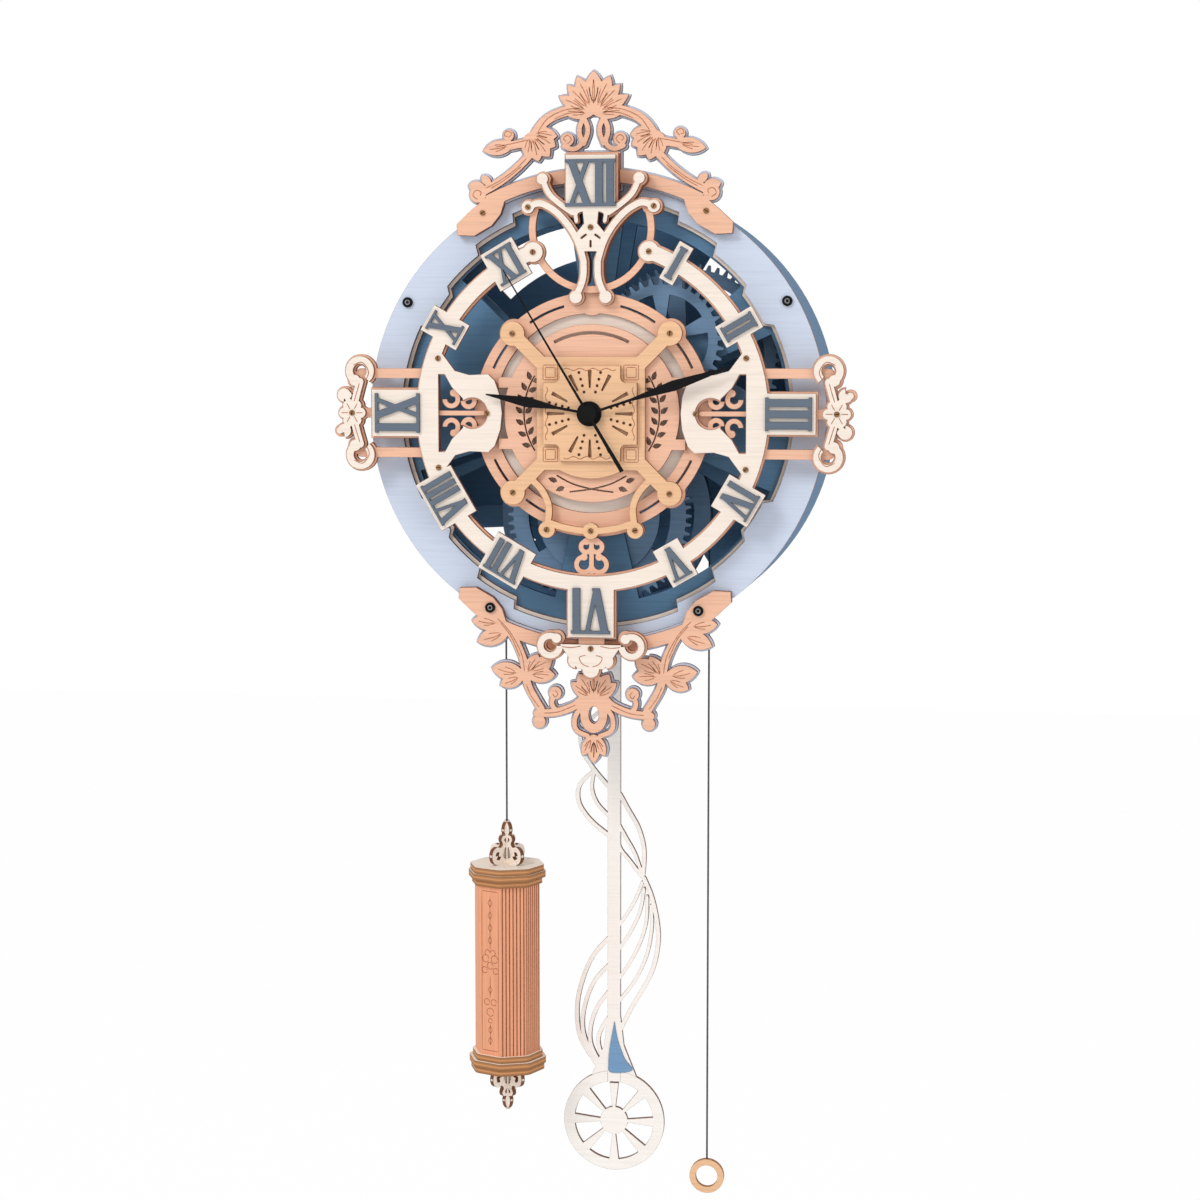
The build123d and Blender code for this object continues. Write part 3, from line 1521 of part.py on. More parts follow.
# Screw heads on the ornaments and dial, and four dark bolts round the bezel.
screw_r = 1.8
screw_high = 0.7
bolt_r = 3.1
bolt_high = 1.6
bolt_orbit = 134.2
bolt_angles = (30, 150)
pad_bolts = ((64.2, -119.0), (-64.2, -119.0))
crown_screws = ((68.0, 120.5), (-68.0, 120.5))
face_screws = (
    (0.0, 110.8),
    (38.0, 123.0),
    (-38.0, 123.0),
    (35.1, 96.3),
    (-35.1, 96.3),
    (93.6, 33.0),
    (93.6, -33.0),
    (-93.6, 33.0),
    (-93.6, -33.0),
    (63.5, 0.0),
    (-63.5, 0.0),
    (flower_x, 0.0),
    (-flower_x, 0.0),
    (0.0, -142.0),
)

with BuildPart() as dial_screws:
    for depth, places in (
        (crown_depth + ply, crown_screws),
        (chapter_depth + ply, face_screws),
        (rosette_depth + ply, foot_lobes + tuple(polar(lobe_orbit, angle) for angle in lobe_angles)),
    ):
        with BuildSketch(front(depth)):
            with Locations(*places):
                RegularPolygon(screw_r, 8)
        extrude(amount=screw_high)
finish(dial_screws, "dial_screws")

with BuildPart() as bezel_bolts:
    with BuildSketch(front(bezel_depth + ply)):
        with Locations(*[polar(bolt_orbit, angle) for angle in bolt_angles]):
            Circle(bolt_r)
    extrude(amount=bolt_high)
    with BuildSketch(front(crown_depth + ply)):
        with Locations(*pad_bolts):
            Circle(bolt_r)
    extrude(amount=bolt_high)
finish(bezel_bolts, "bezel_bolts")
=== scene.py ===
from math import cos, pi, radians, sin

import bmesh
import bpy
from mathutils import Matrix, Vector
from mathutils.geometry import delaunay_2d_cdt


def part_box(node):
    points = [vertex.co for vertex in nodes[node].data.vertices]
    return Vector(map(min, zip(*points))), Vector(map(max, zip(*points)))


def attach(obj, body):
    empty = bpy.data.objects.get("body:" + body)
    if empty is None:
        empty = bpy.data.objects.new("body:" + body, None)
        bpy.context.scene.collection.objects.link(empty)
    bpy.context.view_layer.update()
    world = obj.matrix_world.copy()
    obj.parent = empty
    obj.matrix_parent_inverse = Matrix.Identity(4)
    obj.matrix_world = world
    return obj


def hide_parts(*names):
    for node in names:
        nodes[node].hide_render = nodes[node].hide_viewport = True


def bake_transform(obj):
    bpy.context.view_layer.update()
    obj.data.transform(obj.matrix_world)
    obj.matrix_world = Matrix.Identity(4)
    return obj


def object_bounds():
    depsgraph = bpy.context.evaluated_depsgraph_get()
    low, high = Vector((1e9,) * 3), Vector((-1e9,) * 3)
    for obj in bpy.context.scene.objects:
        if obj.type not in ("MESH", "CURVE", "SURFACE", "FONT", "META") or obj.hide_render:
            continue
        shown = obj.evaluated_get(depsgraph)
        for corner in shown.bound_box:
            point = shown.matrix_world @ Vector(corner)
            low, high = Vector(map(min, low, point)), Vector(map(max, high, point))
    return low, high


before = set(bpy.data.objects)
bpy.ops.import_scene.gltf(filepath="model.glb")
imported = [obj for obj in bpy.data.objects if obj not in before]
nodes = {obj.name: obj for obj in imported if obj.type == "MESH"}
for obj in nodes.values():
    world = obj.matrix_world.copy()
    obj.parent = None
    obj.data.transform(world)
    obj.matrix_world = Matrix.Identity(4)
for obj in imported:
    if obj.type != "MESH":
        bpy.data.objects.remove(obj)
cad_low, cad_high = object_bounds()

# The case is laser-cut birch ply, printed a deep blue. Its cut edges are darker, with a
# paler core ply between two outer ones. Back plate, movement plates, pillars and the bridge
# behind the cord wheel are all cut from the same sheet.
mm = 0.001
white = (255, 255, 255)
black = (0, 0, 0)
full_tone = 255
screen_power = 2.2
blue_face = (98, 138, 172)
blue_edge = (52, 68, 90)
blue_scorch = (24, 32, 48)
sheet_roughness = 0.62
sheet_gloss = 0.25
sheet_contrast = 0.06
grain_long = 26.0
grain_across = 900.0
grain_detail = 5.0
grain_stops = (0.30, 0.50, 0.72)
grain_bump = 0.25
grain_deep = 0.08 * mm
cloud_long = 18.0
cloud_across = 40.0
cloud_detail = 2.0
cloud_share = 0.35
edge_stops = (0.0, 0.34, 0.50, 0.66, 1.0)
edge_shades = (0.80, 1.0, 1.25, 1.0, 0.85)
scorch_reach = 0.6 * mm
scorch_samples = 6
scorch_stops = (0.72, 0.97)
ramp_middle = 0.5

# How a sheet lies: the directions that its faces look in, the axis along which its plies
# are stacked, and how squarely a point must look that way to count as face and not edge.
sheet_lies = {
    "upright": (((0.0, 1.0, 0.0),), "Y", 0.7),
    "level": (((0.0, 0.0, 1.0),), "Z", 0.7),
}


def linear(colour):
    """A colour written as it looks, 0 to 255, in the renderer's own scale."""
    return tuple((value / full_tone) ** screen_power for value in colour) + (1.0,)


def shade(colour, share):
    """A darker or paler version of a colour."""
    return tuple(min(full_tone, value * share) for value in colour)


def link(tree, start, end):
    """Joins one node's output to another's input."""
    tree.links.new(start, end)


def add_node(tree, kind, **settings):
    """A new node with its settings."""
    node = tree.nodes.new(kind)
    for name, value in settings.items():
        setattr(node, name, value)
    return node


def ramp(tree, source, positions, colours):
    """A colour ramp on a value, with each colour at its position."""
    node = add_node(tree, "ShaderNodeValToRGB")
    elements = node.color_ramp.elements
    while len(elements) < len(positions):
        elements.new(ramp_middle)
    for element, position, colour in zip(elements, positions, colours):
        element.position = position
        element.color = linear(colour)
    link(tree, source, node.inputs["Fac"])
    return node.outputs["Color"]


def mixed(tree, factor, first, second):
    """Two colours mixed by a factor. Each is a socket or a colour."""
    node = add_node(tree, "ShaderNodeMix", data_type="RGBA")
    link(tree, factor, node.inputs["Factor"])
    for value, place in ((first, "A"), (second, "B")):
        socket = [s for s in node.inputs if s.name == place and s.type == "RGBA"][0]
        if isinstance(value, tuple):
            socket.default_value = linear(value)
        else:
            link(tree, value, socket)
    return [s for s in node.outputs if s.type == "RGBA"][0]


def computed(tree, operation, first, second=0.0):
    """A sum, product or the like of two sockets or numbers."""
    node = add_node(tree, "ShaderNodeMath", operation=operation)
    for value, socket in zip((first, second), node.inputs):
        if isinstance(value, float):
            socket.default_value = value
        else:
            link(tree, value, socket)
    return node.outputs[0]


def new_finish(name, roughness, gloss, metallic=0.0):
    """A material whose plain values are set on its own shader."""
    material = bpy.data.materials.new(name)
    material.use_nodes = True
    tree = material.node_tree
    shader = tree.nodes["Principled BSDF"]
    shader.inputs["Roughness"].default_value = roughness
    shader.inputs["Specular IOR Level"].default_value = gloss
    shader.inputs["Metallic"].default_value = metallic
    return material, tree, shader


def grain_noise(tree, scales, detail):
    """Streaks that run long where their scale is small and fine where it is large."""
    coordinates = add_node(tree, "ShaderNodeTexCoord")
    mapping = add_node(tree, "ShaderNodeMapping")
    mapping.inputs["Scale"].default_value = scales
    link(tree, coordinates.outputs["Object"], mapping.inputs["Vector"])
    noise = add_node(tree, "ShaderNodeTexNoise")
    noise.inputs["Scale"].default_value = 1.0
    noise.inputs["Detail"].default_value = detail
    link(tree, mapping.outputs["Vector"], noise.inputs["Vector"])
    return noise.outputs["Fac"]


def roughened(tree, shader, height, strength, deep):
    """Gives a surface the small bumps of a pattern."""
    bump = add_node(tree, "ShaderNodeBump")
    bump.inputs["Strength"].default_value = strength
    bump.inputs["Distance"].default_value = deep
    link(tree, height, bump.inputs["Height"])
    link(tree, bump.outputs["Normal"], shader.inputs["Normal"])


def squareness(tree, normal, directions):
    """How squarely a point looks along the nearest of some directions, 0 to 1."""
    best = None
    for direction in directions:
        product = add_node(tree, "ShaderNodeVectorMath", operation="DOT_PRODUCT")
        link(tree, normal, product.inputs[0])
        product.inputs[1].default_value = direction
        size = computed(tree, "ABSOLUTE", product.outputs["Value"])
        best = size if best is None else computed(tree, "MAXIMUM", best, size)
    return best


def plywood(name, face, edge, scorch, contrast=sheet_contrast, lie="upright"):
    """Laser-cut ply: grained faces, striped scorched edges, and a burnt line along each cut."""
    directions, stacked_along, least = sheet_lies[lie]
    material, tree, shader = new_finish(name, sheet_roughness, sheet_gloss)
    streaks = grain_noise(tree, (grain_long, grain_across, grain_across), grain_detail)
    clouds = grain_noise(tree, (cloud_long, cloud_across, cloud_across), cloud_detail)
    dark_grain = shade(face, 1 - contrast)
    pale_grain = shade(face, 1 + contrast / 2)
    grained = ramp(tree, streaks, grain_stops, (dark_grain, face, pale_grain))
    grained = mixed(tree, computed(tree, "MULTIPLY", clouds, cloud_share), grained, dark_grain)
    normal = add_node(tree, "ShaderNodeNewGeometry").outputs["True Normal"]
    is_face = computed(tree, "GREATER_THAN", squareness(tree, normal, directions), least)
    place = add_node(tree, "ShaderNodeTexCoord")
    depth = add_node(tree, "ShaderNodeSeparateXYZ")
    link(tree, place.outputs["Generated"], depth.inputs[0])
    plies = [shade(edge, share) for share in edge_shades]
    edge_colour = ramp(tree, depth.outputs[stacked_along], edge_stops, plies)
    rounded_normal = add_node(tree, "ShaderNodeBevel", samples=scorch_samples)
    rounded_normal.inputs["Radius"].default_value = scorch_reach
    turned = add_node(tree, "ShaderNodeVectorMath", operation="DOT_PRODUCT")
    link(tree, rounded_normal.outputs["Normal"], turned.inputs[0])
    link(tree, normal, turned.inputs[1])
    burnt = ramp(tree, turned.outputs["Value"], scorch_stops, (white, black))
    lined = mixed(tree, burnt, grained, scorch)
    link(tree, mixed(tree, is_face, edge_colour, lined), shader.inputs["Base Color"])
    roughened(tree, shader, streaks, grain_bump, grain_deep)
    return material


def dress(material, *names):
    """Gives a material to the CAD pieces of these names."""
    for name in names:
        slots = nodes[name].data.materials
        for index in range(len(slots)):
            slots[index] = material


case_blue = plywood("case_blue", blue_face, blue_edge, blue_scorch)
dress(
    case_blue,
    "back_plate",
    "case_pillars",
    "rear_movement_plate",
    "front_movement_plate",
    "sheave_bridge",
)

# The case's wall is thin blue ply, bent round between the pillars. Its faces look every
# way, so its grain runs upright all round.
wall_face = (84, 124, 160)
wall_grain = (72, 110, 146)
bent_grain_stops = (0.3, 0.6)


def bent_sheet(name, face, dark):
    """Thin ply whose faces look every way, with its grain upright."""
    material, tree, shader = new_finish(name, sheet_roughness, sheet_gloss)
    streaks = grain_noise(tree, (grain_across, grain_across, grain_long), grain_detail)
    tone = ramp(tree, streaks, bent_grain_stops, (dark, face))
    link(tree, tone, shader.inputs["Base Color"])
    roughened(tree, shader, streaks, grain_bump, grain_deep)
    return material


bent_blue = bent_sheet("bent_blue", wall_face, wall_grain)
dress(bent_blue, "side_walls")

# The wheels, pinions, cord wheel and anchor are cut from ply printed a shade paler than the
# plates, so that the train reads against them. Their teeth's flanks are darker than the arms.
wheel_face = (118, 150, 182)
wheel_edge = (44, 58, 80)
wheel_blue = plywood("wheel_blue", wheel_face, wheel_edge, blue_scorch)
dress(
    wheel_blue,
    "great_wheel",
    "centre_wheel",
    "centre_pinion",
    "third_wheel",
    "third_pinion",
    "escape_wheel",
    "escape_pinion",
    "cannon_wheel",
    "minute_wheel",
    "minute_pinion",
    "hour_wheel",
    "clutch_disc",
    "cord_sheave",
    "anchor",
)

# The arbors are bright steel rods through the wheels, and they turn in holes in the two
# movement plates. The bar inside the weight is the same steel.
steel_colour = (150, 150, 152)
steel_roughness = 0.35
steel_metal_share = 1.0
fleck_scale = 700.0
fleck_detail = 3.0
fleck_stops = (0.35, 0.7)
fleck_shades = (0.85, 1.15)
fleck_bump = 0.15
fleck_deep = 0.05 * mm
plain_gloss = 0.5


def painted(name, colour, roughness, metallic=0.0, gloss=plain_gloss):
    """Paint or metal with a fine unevenness in its colour and surface."""
    material, tree, shader = new_finish(name, roughness, gloss, metallic)
    flecks = grain_noise(tree, (fleck_scale, fleck_scale, fleck_scale), fleck_detail)
    tone = ramp(tree, flecks, fleck_stops, [shade(colour, share) for share in fleck_shades])
    link(tree, tone, shader.inputs["Base Color"])
    roughened(tree, shader, flecks, fleck_bump, fleck_deep)
    return material


bright_steel = painted("bright_steel", steel_colour, steel_roughness, steel_metal_share)
dress(bright_steel, "third_arbor", "minute_arbor", "anchor_arbor", "sheave_arbor", "weight_core")

# The bezel is a sheet of pale lilac-grey ply over a cream one, whose lip shows inside it.
# The same lilac sheet backs the crown and the foot ornament as a thin rim.
lilac_face = (208, 219, 237)
lilac_edge = (120, 96, 96)
lilac_scorch = (96, 84, 98)
lilac_contrast = 0.03
bezel_lilac = plywood("bezel_lilac", lilac_face, lilac_edge, lilac_scorch, lilac_contrast)
dress(bezel_lilac, "bezel", "crown_backing", "lower_ornament_backing")

# Cream ply is birch that is barely tinted, so that its cut edges look dark against it. The
# bezel's backing, centre disc, chapter ring, fork and scrolls are cut from it.
cream_face = (247, 233, 219)
cream_edge = (150, 92, 62)
cream_scorch = (84, 52, 40)
cream_contrast = 0.04
cream_ply = plywood("cream_ply", cream_face, cream_edge, cream_scorch, cream_contrast)
dress(
    cream_ply,
    "bezel_backing",
    "centre_disc",
    "chapter_ring",
    "fork_face",
    "cream_scrolls",
)

# Peach ply is stained a soft apricot. The crown, foot ornament, lobed ring, laurel disc,
# the dial's pillars and the layers behind the cream ones are cut from it.
peach_face = (242, 190, 160)
peach_edge = (148, 84, 54)
peach_scorch = (90, 48, 34)
peach_ply = plywood("peach_ply", peach_face, peach_edge, peach_scorch)
dress(
    peach_ply,
    "crown",
    "lower_ornament",
    "centre_ring",
    "laurel_disc",
    "chapter_backing",
    "fork_back",
    "dial_pillars",
)

# The laser also engraves the crown and the foot ornament: shallow burnt veins run up each
# leaf, and burnt lines follow the arch, the stems and the curls.
engraved_brown = (178, 116, 86)
engraved_roughness = 0.7
engraved_width = 0.55
engraved_rise = 0.03 * mm
engraved_tip_share = 0.4
strip_corners = ((1, -1), (1, 1), (-1, 1), (-1, -1))
line_steps = 6
dial_z = -0.120
vein_shares = (
    ((0.25, 0.0), (0.50, 0.05), (0.80, 0.0)),
    ((0.30, 0.06), (0.46, 0.17), (0.62, 0.22)),
    ((0.30, -0.06), (0.46, -0.17), (0.62, -0.22)),
)
burnt_line = painted("burnt_line", engraved_brown, engraved_roughness)


def smooth_line(points):
    """Places along a smooth curve through the given ones, each bent by its neighbours."""
    ends = [points[0], *points, points[-1]]
    path = []
    for group in zip(ends, ends[1:], ends[2:], ends[3:]):
        for step in range(line_steps):
            t = step / line_steps
            place = []
            for before, start, end, after in zip(*group):
                bend = 2 * before - 5 * start + 4 * end - after
                twist = 3 * start - before - 3 * end + after
                place.append(0.5 * (2 * start + (end - before) * t + bend * t**2 + twist * t**3))
            path.append(tuple(place))
    path.append(tuple(points[-1]))
    return path


def directions_along(path):
    """The direction of a path at each of its places."""
    last = len(path) - 1
    runs = []
    for index in range(last + 1):
        ahead = path[min(index + 1, last)]
        behind = path[max(index - 1, 0)]
        runs.append(Vector((ahead[0] - behind[0], ahead[1] - behind[1])).normalized())
    return runs


def finished(mesh, work):
    """A mesh that takes the shape in work, with its faces turned outwards."""
    bmesh.ops.recalc_face_normals(work, faces=work.faces)
    work.to_mesh(mesh)
    work.free()
    return mesh


def mesh_of(name, points, faces):
    """A mesh of corners and of faces that name them by number."""
    work = bmesh.new()
    corners = [work.verts.new(point) for point in points]
    for face in faces:
        work.faces.new([corners[index] for index in face])
    return finished(bpy.data.meshes.new(name), work)


def new_piece(mesh, material):
    """A piece with its mesh's name, in its finish."""
    mesh.materials.append(material)
    piece = bpy.data.objects.new(mesh.name, mesh)
    bpy.context.scene.collection.objects.link(piece)
    return piece


def on_the_front(place):
    """Where strips on a face that looks forwards start, run to and rise to."""
    return place, (1, 0, 0), (0, -1, 0)


def lay_strips(name, body, seat, lines, width=engraved_width, material=burnt_line):
    """Strips on a flat face, drawn through places in millimetres from its origin: burnt lines,
    and the painted shade and highlights on the screw and bolt heads.
    """
    origin, across, outward = (Vector(value) for value in seat)
    up = outward.cross(across)
    sides = len(strip_corners)
    points = []
    faces = []
    for line in lines:
        path = smooth_line(line)
        base = len(points)
        last = len(path) - 1
        for index, ((x, z), run) in enumerate(zip(path, directions_along(path))):
            half = width / 2 * (engraved_tip_share if index in (0, last) else 1.0)
            for side, rise in strip_corners:
                u = x - side * half * run.y
                v = z + side * half * run.x
                points.append(origin + (across * u + up * v) * mm + outward * rise * engraved_rise)
        for index in range(last):
            a = base + sides * index
            for k in range(sides):
                after = (k + 1) % sides
                faces.append((a + k, a + after, a + sides + after, a + sides + k))
        end = base + sides * last
        faces.append(tuple(range(base, base + sides)))
        faces.append(tuple(range(end, end + sides)))
    piece = new_piece(mesh_of(name, points, faces), material)
    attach(piece, body)


def engrave_dial(name, node, lines):
    """Burnt lines on the front of a dial layer, in millimetres from the dial's centre."""
    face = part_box(node)[0].y
    lay_strips(name, "case", on_the_front((0, face, dial_z)), lines)


def leaf_veins(x, z, tilt, long, wide):
    """A leaf's middle vein and one side vein on each half, from its foot at x, z."""
    along = (long * cos(radians(tilt)), long * sin(radians(tilt)))
    aside = (-wide * sin(radians(tilt)), wide * cos(radians(tilt)))
    return [
        [(x + along[0] * s + aside[0] * t, z + along[1] * s + aside[1] * t) for s, t in vein]
        for vein in vein_shares
    ]


def both_sides(lines):
    """Lines and their mirror images about the upright through the dial's centre."""
    return list(lines) + [[(-x, z) for x, z in line] for line in lines]


# Each leaf of a fan is its tilt in degrees, its length and its width, and all have one foot.
crown_fan_foot = (0, 178)
crown_fan = ((90, 26, 12), (66, 25, 10), (48, 24, 9), (28, 24, 8.5), (8, 20, 8))
crown_acanthus_foot = (-39, 168)
crown_acanthus = ((-8, 17, 9), (-28, 18, 10), (-50, 19, 10), (-72, 18, 10), (-95, 15, 9))
crown_horn_leaf = (-48.0, 161.0, 190, 20, 9)
crown_stems = (
    ((-8.0, 182.0), (-18.0, 180.8), (-28.0, 176.0), (-34.0, 168.0)),
    ((-6.0, 179.6), (-16.0, 178.8), (-24.0, 175.6)),
    ((-40.0, 163.5), (-50.0, 161.5), (-60.0, 159.5)),
    ((-41.0, 152.5), (-48.0, 146.0), (-57.0, 139.8), (-66.0, 135.2)),
    ((-44.0, 148.0), (-54.0, 140.2), (-63.0, 135.0)),
    ((-52.0, 165.0), (-50.0, 167.5), (-53.0, 169.0), (-54.5, 166.5), (-52.5, 165.8)),
    ((-71.0, 128.5), (-74.0, 131.0), (-72.0, 134.0), (-69.0, 133.0), (-69.5, 130.8)),
    ((-16.0, 160.8), (-13.5, 163.5), (-16.0, 166.0), (-18.3, 164.0), (-16.8, 162.5)),
)
crown_lines = [list(stem) for stem in crown_stems]
for tilt, long, wide in crown_fan:
    crown_lines += leaf_veins(*crown_fan_foot, tilt, long, wide)
for tilt, long, wide in crown_acanthus:
    crown_lines += leaf_veins(*crown_acanthus_foot, tilt, long, wide)
crown_lines += leaf_veins(*crown_horn_leaf)
engrave_dial("crown_engraving", "crown", both_sides(crown_lines))

foot_leaves = (
    (-52.0, -133.0, 200, 22, 11),
    (-56.0, -129.0, 175, 20, 10),
    (-43.0, -160.0, 170, 21, 11),
    (-43.0, -160.0, 205, 17, 9),
    (-43.0, -160.0, 30, 20, 11),
    (-43.0, -160.0, 0, 19, 10),
    (-43.0, -162.0, 60, 17, 9),
    (0.0, -175.2, 60, 19, 10),
    (0.0, -175.2, 90, 20, 10),
    (0.0, -175.2, 38, 18, 8),
    (0.0, -196.0, -90, 18, 8),
    (0.0, -196.0, -62, 15, 7),
)
foot_stems = (
    ((-60.0, -125.5), (-52.0, -134.0), (-45.0, -147.0), (-43.0, -158.0)),
    ((-58.0, -128.5), (-51.5, -136.5), (-46.0, -149.0)),
    ((-42.0, -166.0), (-39.0, -173.0), (-34.0, -180.0)),
    ((-31.0, -183.6), (-22.0, -182.6), (-11.0, -178.0)),
    ((-25.5, -171.5), (-24.0, -173.5), (-22.3, -171.5), (-24.0, -169.5)),
)
foot_lines = [list(stem) for stem in foot_stems]
for leaf in foot_leaves:
    foot_lines += leaf_veins(*leaf)
engrave_dial("foot_engraving", "lower_ornament", both_sides(foot_lines))

# The cream scrolls beside III and IX and under VI carry the same engraving: petals on the
# flowers and a line that follows each scroll.
flower_place = 147.5
flower_petals = 6
petal_reaches = (2.6, 4.4, 6.6)
scroll_lines = [
    ((139.0, 19.6), (137.0, 25.0), (141.0, 30.6), (146.6, 28.8)),
    ((139.0, -19.6), (137.0, -25.0), (141.0, -30.6), (146.6, -28.8)),
    ((146.2, 7.0), (144.6, 12.0), (142.8, 18.0)),
    ((146.2, -7.0), (144.6, -12.0), (142.8, -18.0)),
    ((6.0, -140.5), (12.0, -141.5), (18.0, -141.0)),
    ((3.0, -146.0), (7.0, -147.5), (5.0, -151.5), (1.0, -153.0)),
]
for petal in range(flower_petals):
    turn = 2 * pi * petal / flower_petals
    scroll_lines.append([(flower_place + r * cos(turn), r * sin(turn)) for r in petal_reaches])
engrave_dial("scroll_engraving", "cream_scrolls", both_sides(scroll_lines))

# Tan ply is left in its own colour. The two rosette plates on top of the laurel disc and
# the ring on the right cord are cut from it.
tan_face = (240, 192, 150)
tan_edge = (150, 96, 56)
tan_scorch = (112, 66, 40)
tan_ply = plywood("tan_ply", tan_face, tan_edge, tan_scorch)
dress(tan_ply, "rosette_plate", "burst_plate", "pull_ring")

# The rosette is engraved too: a square within a square at each corner of its lower plate,
# and a rippled border round the upper one with the rays.
corner_place = 24.6
corner_halves = (4.4, 3.0)
border_half = 26.4
border_reach = 16.0
border_ripple = 0.7
border_waves = 4
border_steps = 24


def closed_sides(corners):
    """The straight sides of a closed outline, one line each."""
    return [[first, second] for first, second in zip(corners, corners[1:] + corners[:1])]


corner_lines = []
for x in (-corner_place, corner_place):
    for z in (-corner_place, corner_place):
        for half in corner_halves:
            low_corners = [(x - half, z - half), (x + half, z - half)]
            high_corners = [(x + half, z + half), (x - half, z + half)]
            corner_lines += closed_sides(low_corners + high_corners)
engrave_dial("corner_engraving", "rosette_plate", corner_lines)
border_lines = []
for side in (-1, 1):
    edge = []
    for step in range(border_steps + 1):
        along = border_reach * (2 * step / border_steps - 1)
        ripple = border_ripple * sin(2 * pi * border_waves * step / border_steps)
        edge.append((along, side * (border_half + ripple)))
    border_lines.append(edge)
    border_lines.append([(z, x) for x, z in edge])
engrave_dial("border_engraving", "burst_plate", border_lines)

# The numerals are cut from thin slate-coloured ply, each in one piece, and glued on to the
# plaques of the chapter ring.
slate_face = (102, 113, 127)
slate_edge = (52, 60, 74)
slate_scorch = (48, 52, 62)
slate_ply = plywood("slate_ply", slate_face, slate_edge, slate_scorch)
dress(slate_ply, "numeral_set")

# The hands are thin steel, painted black and pressed on the tubes and the arbor that turn
# them. The tubes, the arbor and the bezel's bolts are black too.
black_colour = (16, 16, 18)
black_roughness = 0.5
black_gloss = 0.15
black_paint = painted("black_paint", black_colour, black_roughness, gloss=black_gloss)
dress(
    black_paint,
    "hour_hand",
    "minute_hand",
    "second_hand",
    "hour_tube",
    "minute_tube",
    "second_arbor",
    "bezel_bolts",
)

# Bronze screws hold the dial's layers together, and black bolts hold the bezel. The slots and
# sockets are not cut. Each screw head carries a black strip of painted shade for its slot, turned
# as the driver left it. Each bolt head carries a thin steel ring, a painted highlight round its socket.
bronze_colour = (150, 112, 78)
bronze_roughness = 0.4
bronze_metal_share = 0.8
slot_half = 1.35
slot_width = 0.55
slot_turn = 67
socket_r = 1.3
socket_sides = 6
head_reach = 8.0 * mm
screw_bronze = painted("screw_bronze", bronze_colour, bronze_roughness, bronze_metal_share)
dress(screw_bronze, "dial_screws")


def head_places(node):
    """The middle of each screw head of a node, on its front."""
    groups = []
    for vertex in nodes[node].data.vertices:
        for group in groups:
            if (vertex.co - group[0]).length < head_reach:
                group.append(vertex.co)
                break
        else:
            groups.append([vertex.co])
    places = []
    for group in groups:
        xs = [point.x for point in group]
        zs = [point.z for point in group]
        front = min(point.y for point in group)
        places.append(((min(xs) + max(xs)) / 2, front, (min(zs) + max(zs)) / 2))
    return places


def ring(x, z, radius, count):
    """Places round a circle, evenly spaced."""
    turns = [2 * pi * step / count for step in range(count)]
    return [(x + radius * cos(turn), z + radius * sin(turn)) for turn in turns]


# A black strip of painted shade on each screw head stands for its slot.
for index, place in enumerate(head_places("dial_screws")):
    turn = radians(slot_turn * index)
    tip = (slot_half * cos(turn), slot_half * sin(turn))
    line = [(-tip[0], -tip[1]), tip]
    name = f"painted_slot_shade_{index + 1}"
    lay_strips(name, "case", on_the_front(place), [line], slot_width, black_paint)
# A thin ring of bright steel on each bolt head is a painted highlight round its socket.
socket_highlight_ring = ring(0.0, 0.0, socket_r, socket_sides)
socket_highlight_ring.append(socket_highlight_ring[0])
for index, place in enumerate(head_places("bezel_bolts")):
    name = f"bolt_highlight_{index + 1}"
    seat = on_the_front(place)
    lay_strips(name, "case", seat, [socket_highlight_ring], slot_width, bright_steel)

# The driving weight is a shell of coral-stained ply with eight sides, round a steel bar.
# Its two sides at the front right and the two opposite are cut with rows of upright flutes.
coral_face = (240, 166, 127)
coral_dark_share = 0.93
groove_colour = (158, 92, 66)
groove_roughness = 0.8
column_across = 39.0
column_sides = 8
groove_gap = 2.2
groove_width = 0.7
groove_deep = 0.5
groove_shares = ((-0.5, 0.0), (-0.2, 1.0), (0.2, 1.0), (0.5, 0.0))
fluted_sides = (0, 1, 4, 5)
coral_ply = bent_sheet("coral_ply", coral_face, shade(coral_face, coral_dark_share))
groove_brown = painted("groove_brown", groove_colour, groove_roughness)
weight_low, weight_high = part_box("weight_shell")
weight_middle = (weight_low + weight_high) / 2
corner_share = 0.5 / cos(pi / column_sides)


def weight_corner(index, across):
    """A corner of a column so many millimetres across: number 0 faces the front."""
    angle = 2 * pi * index / column_sides
    radius = across * corner_share * mm
    x = weight_middle.x + radius * sin(angle)
    y = weight_middle.y - radius * cos(angle)
    return Vector((x, y, 0.0))


def upright_block(name, outline, low, high):
    """The mesh of a block over an outline in plan, its walls in the outline's order."""
    count = len(outline)
    points = [(place.x, place.y, height) for height in (low, high) for place in outline]
    faces = [(i, (i + 1) % count, count + (i + 1) % count, count + i) for i in range(count)]
    faces += [tuple(range(count)), tuple(range(count, 2 * count))]
    return mesh_of(name, points, faces)


outline = []
grooved_walls = []
for side in range(column_sides):
    start = weight_corner(side, column_across)
    end = weight_corner(side + 1, column_across)
    run = (end - start).normalized()
    inward = Vector((-run.y, run.x, 0.0))
    outline.append(start)
    if side in fluted_sides:
        wide = (end - start).length / mm
        grooves = int(wide / groove_gap)
        for groove in range(grooves):
            middle = wide * (groove + 0.5) / grooves
            for number, (across_share, deep_share) in enumerate(groove_shares):
                if number:
                    grooved_walls.append(len(outline) - 1)
                along = (middle + across_share * groove_width) * mm
                outline.append(start + run * along + inward * deep_share * groove_deep * mm)
column_mesh = upright_block("weight_column", outline, weight_low.z, weight_high.z)
column = new_piece(column_mesh, coral_ply)
column.data.materials.append(groove_brown)
for index in grooved_walls:
    column.data.polygons[index].material_index = 1
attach(column, "weight")
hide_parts("weight_shell")

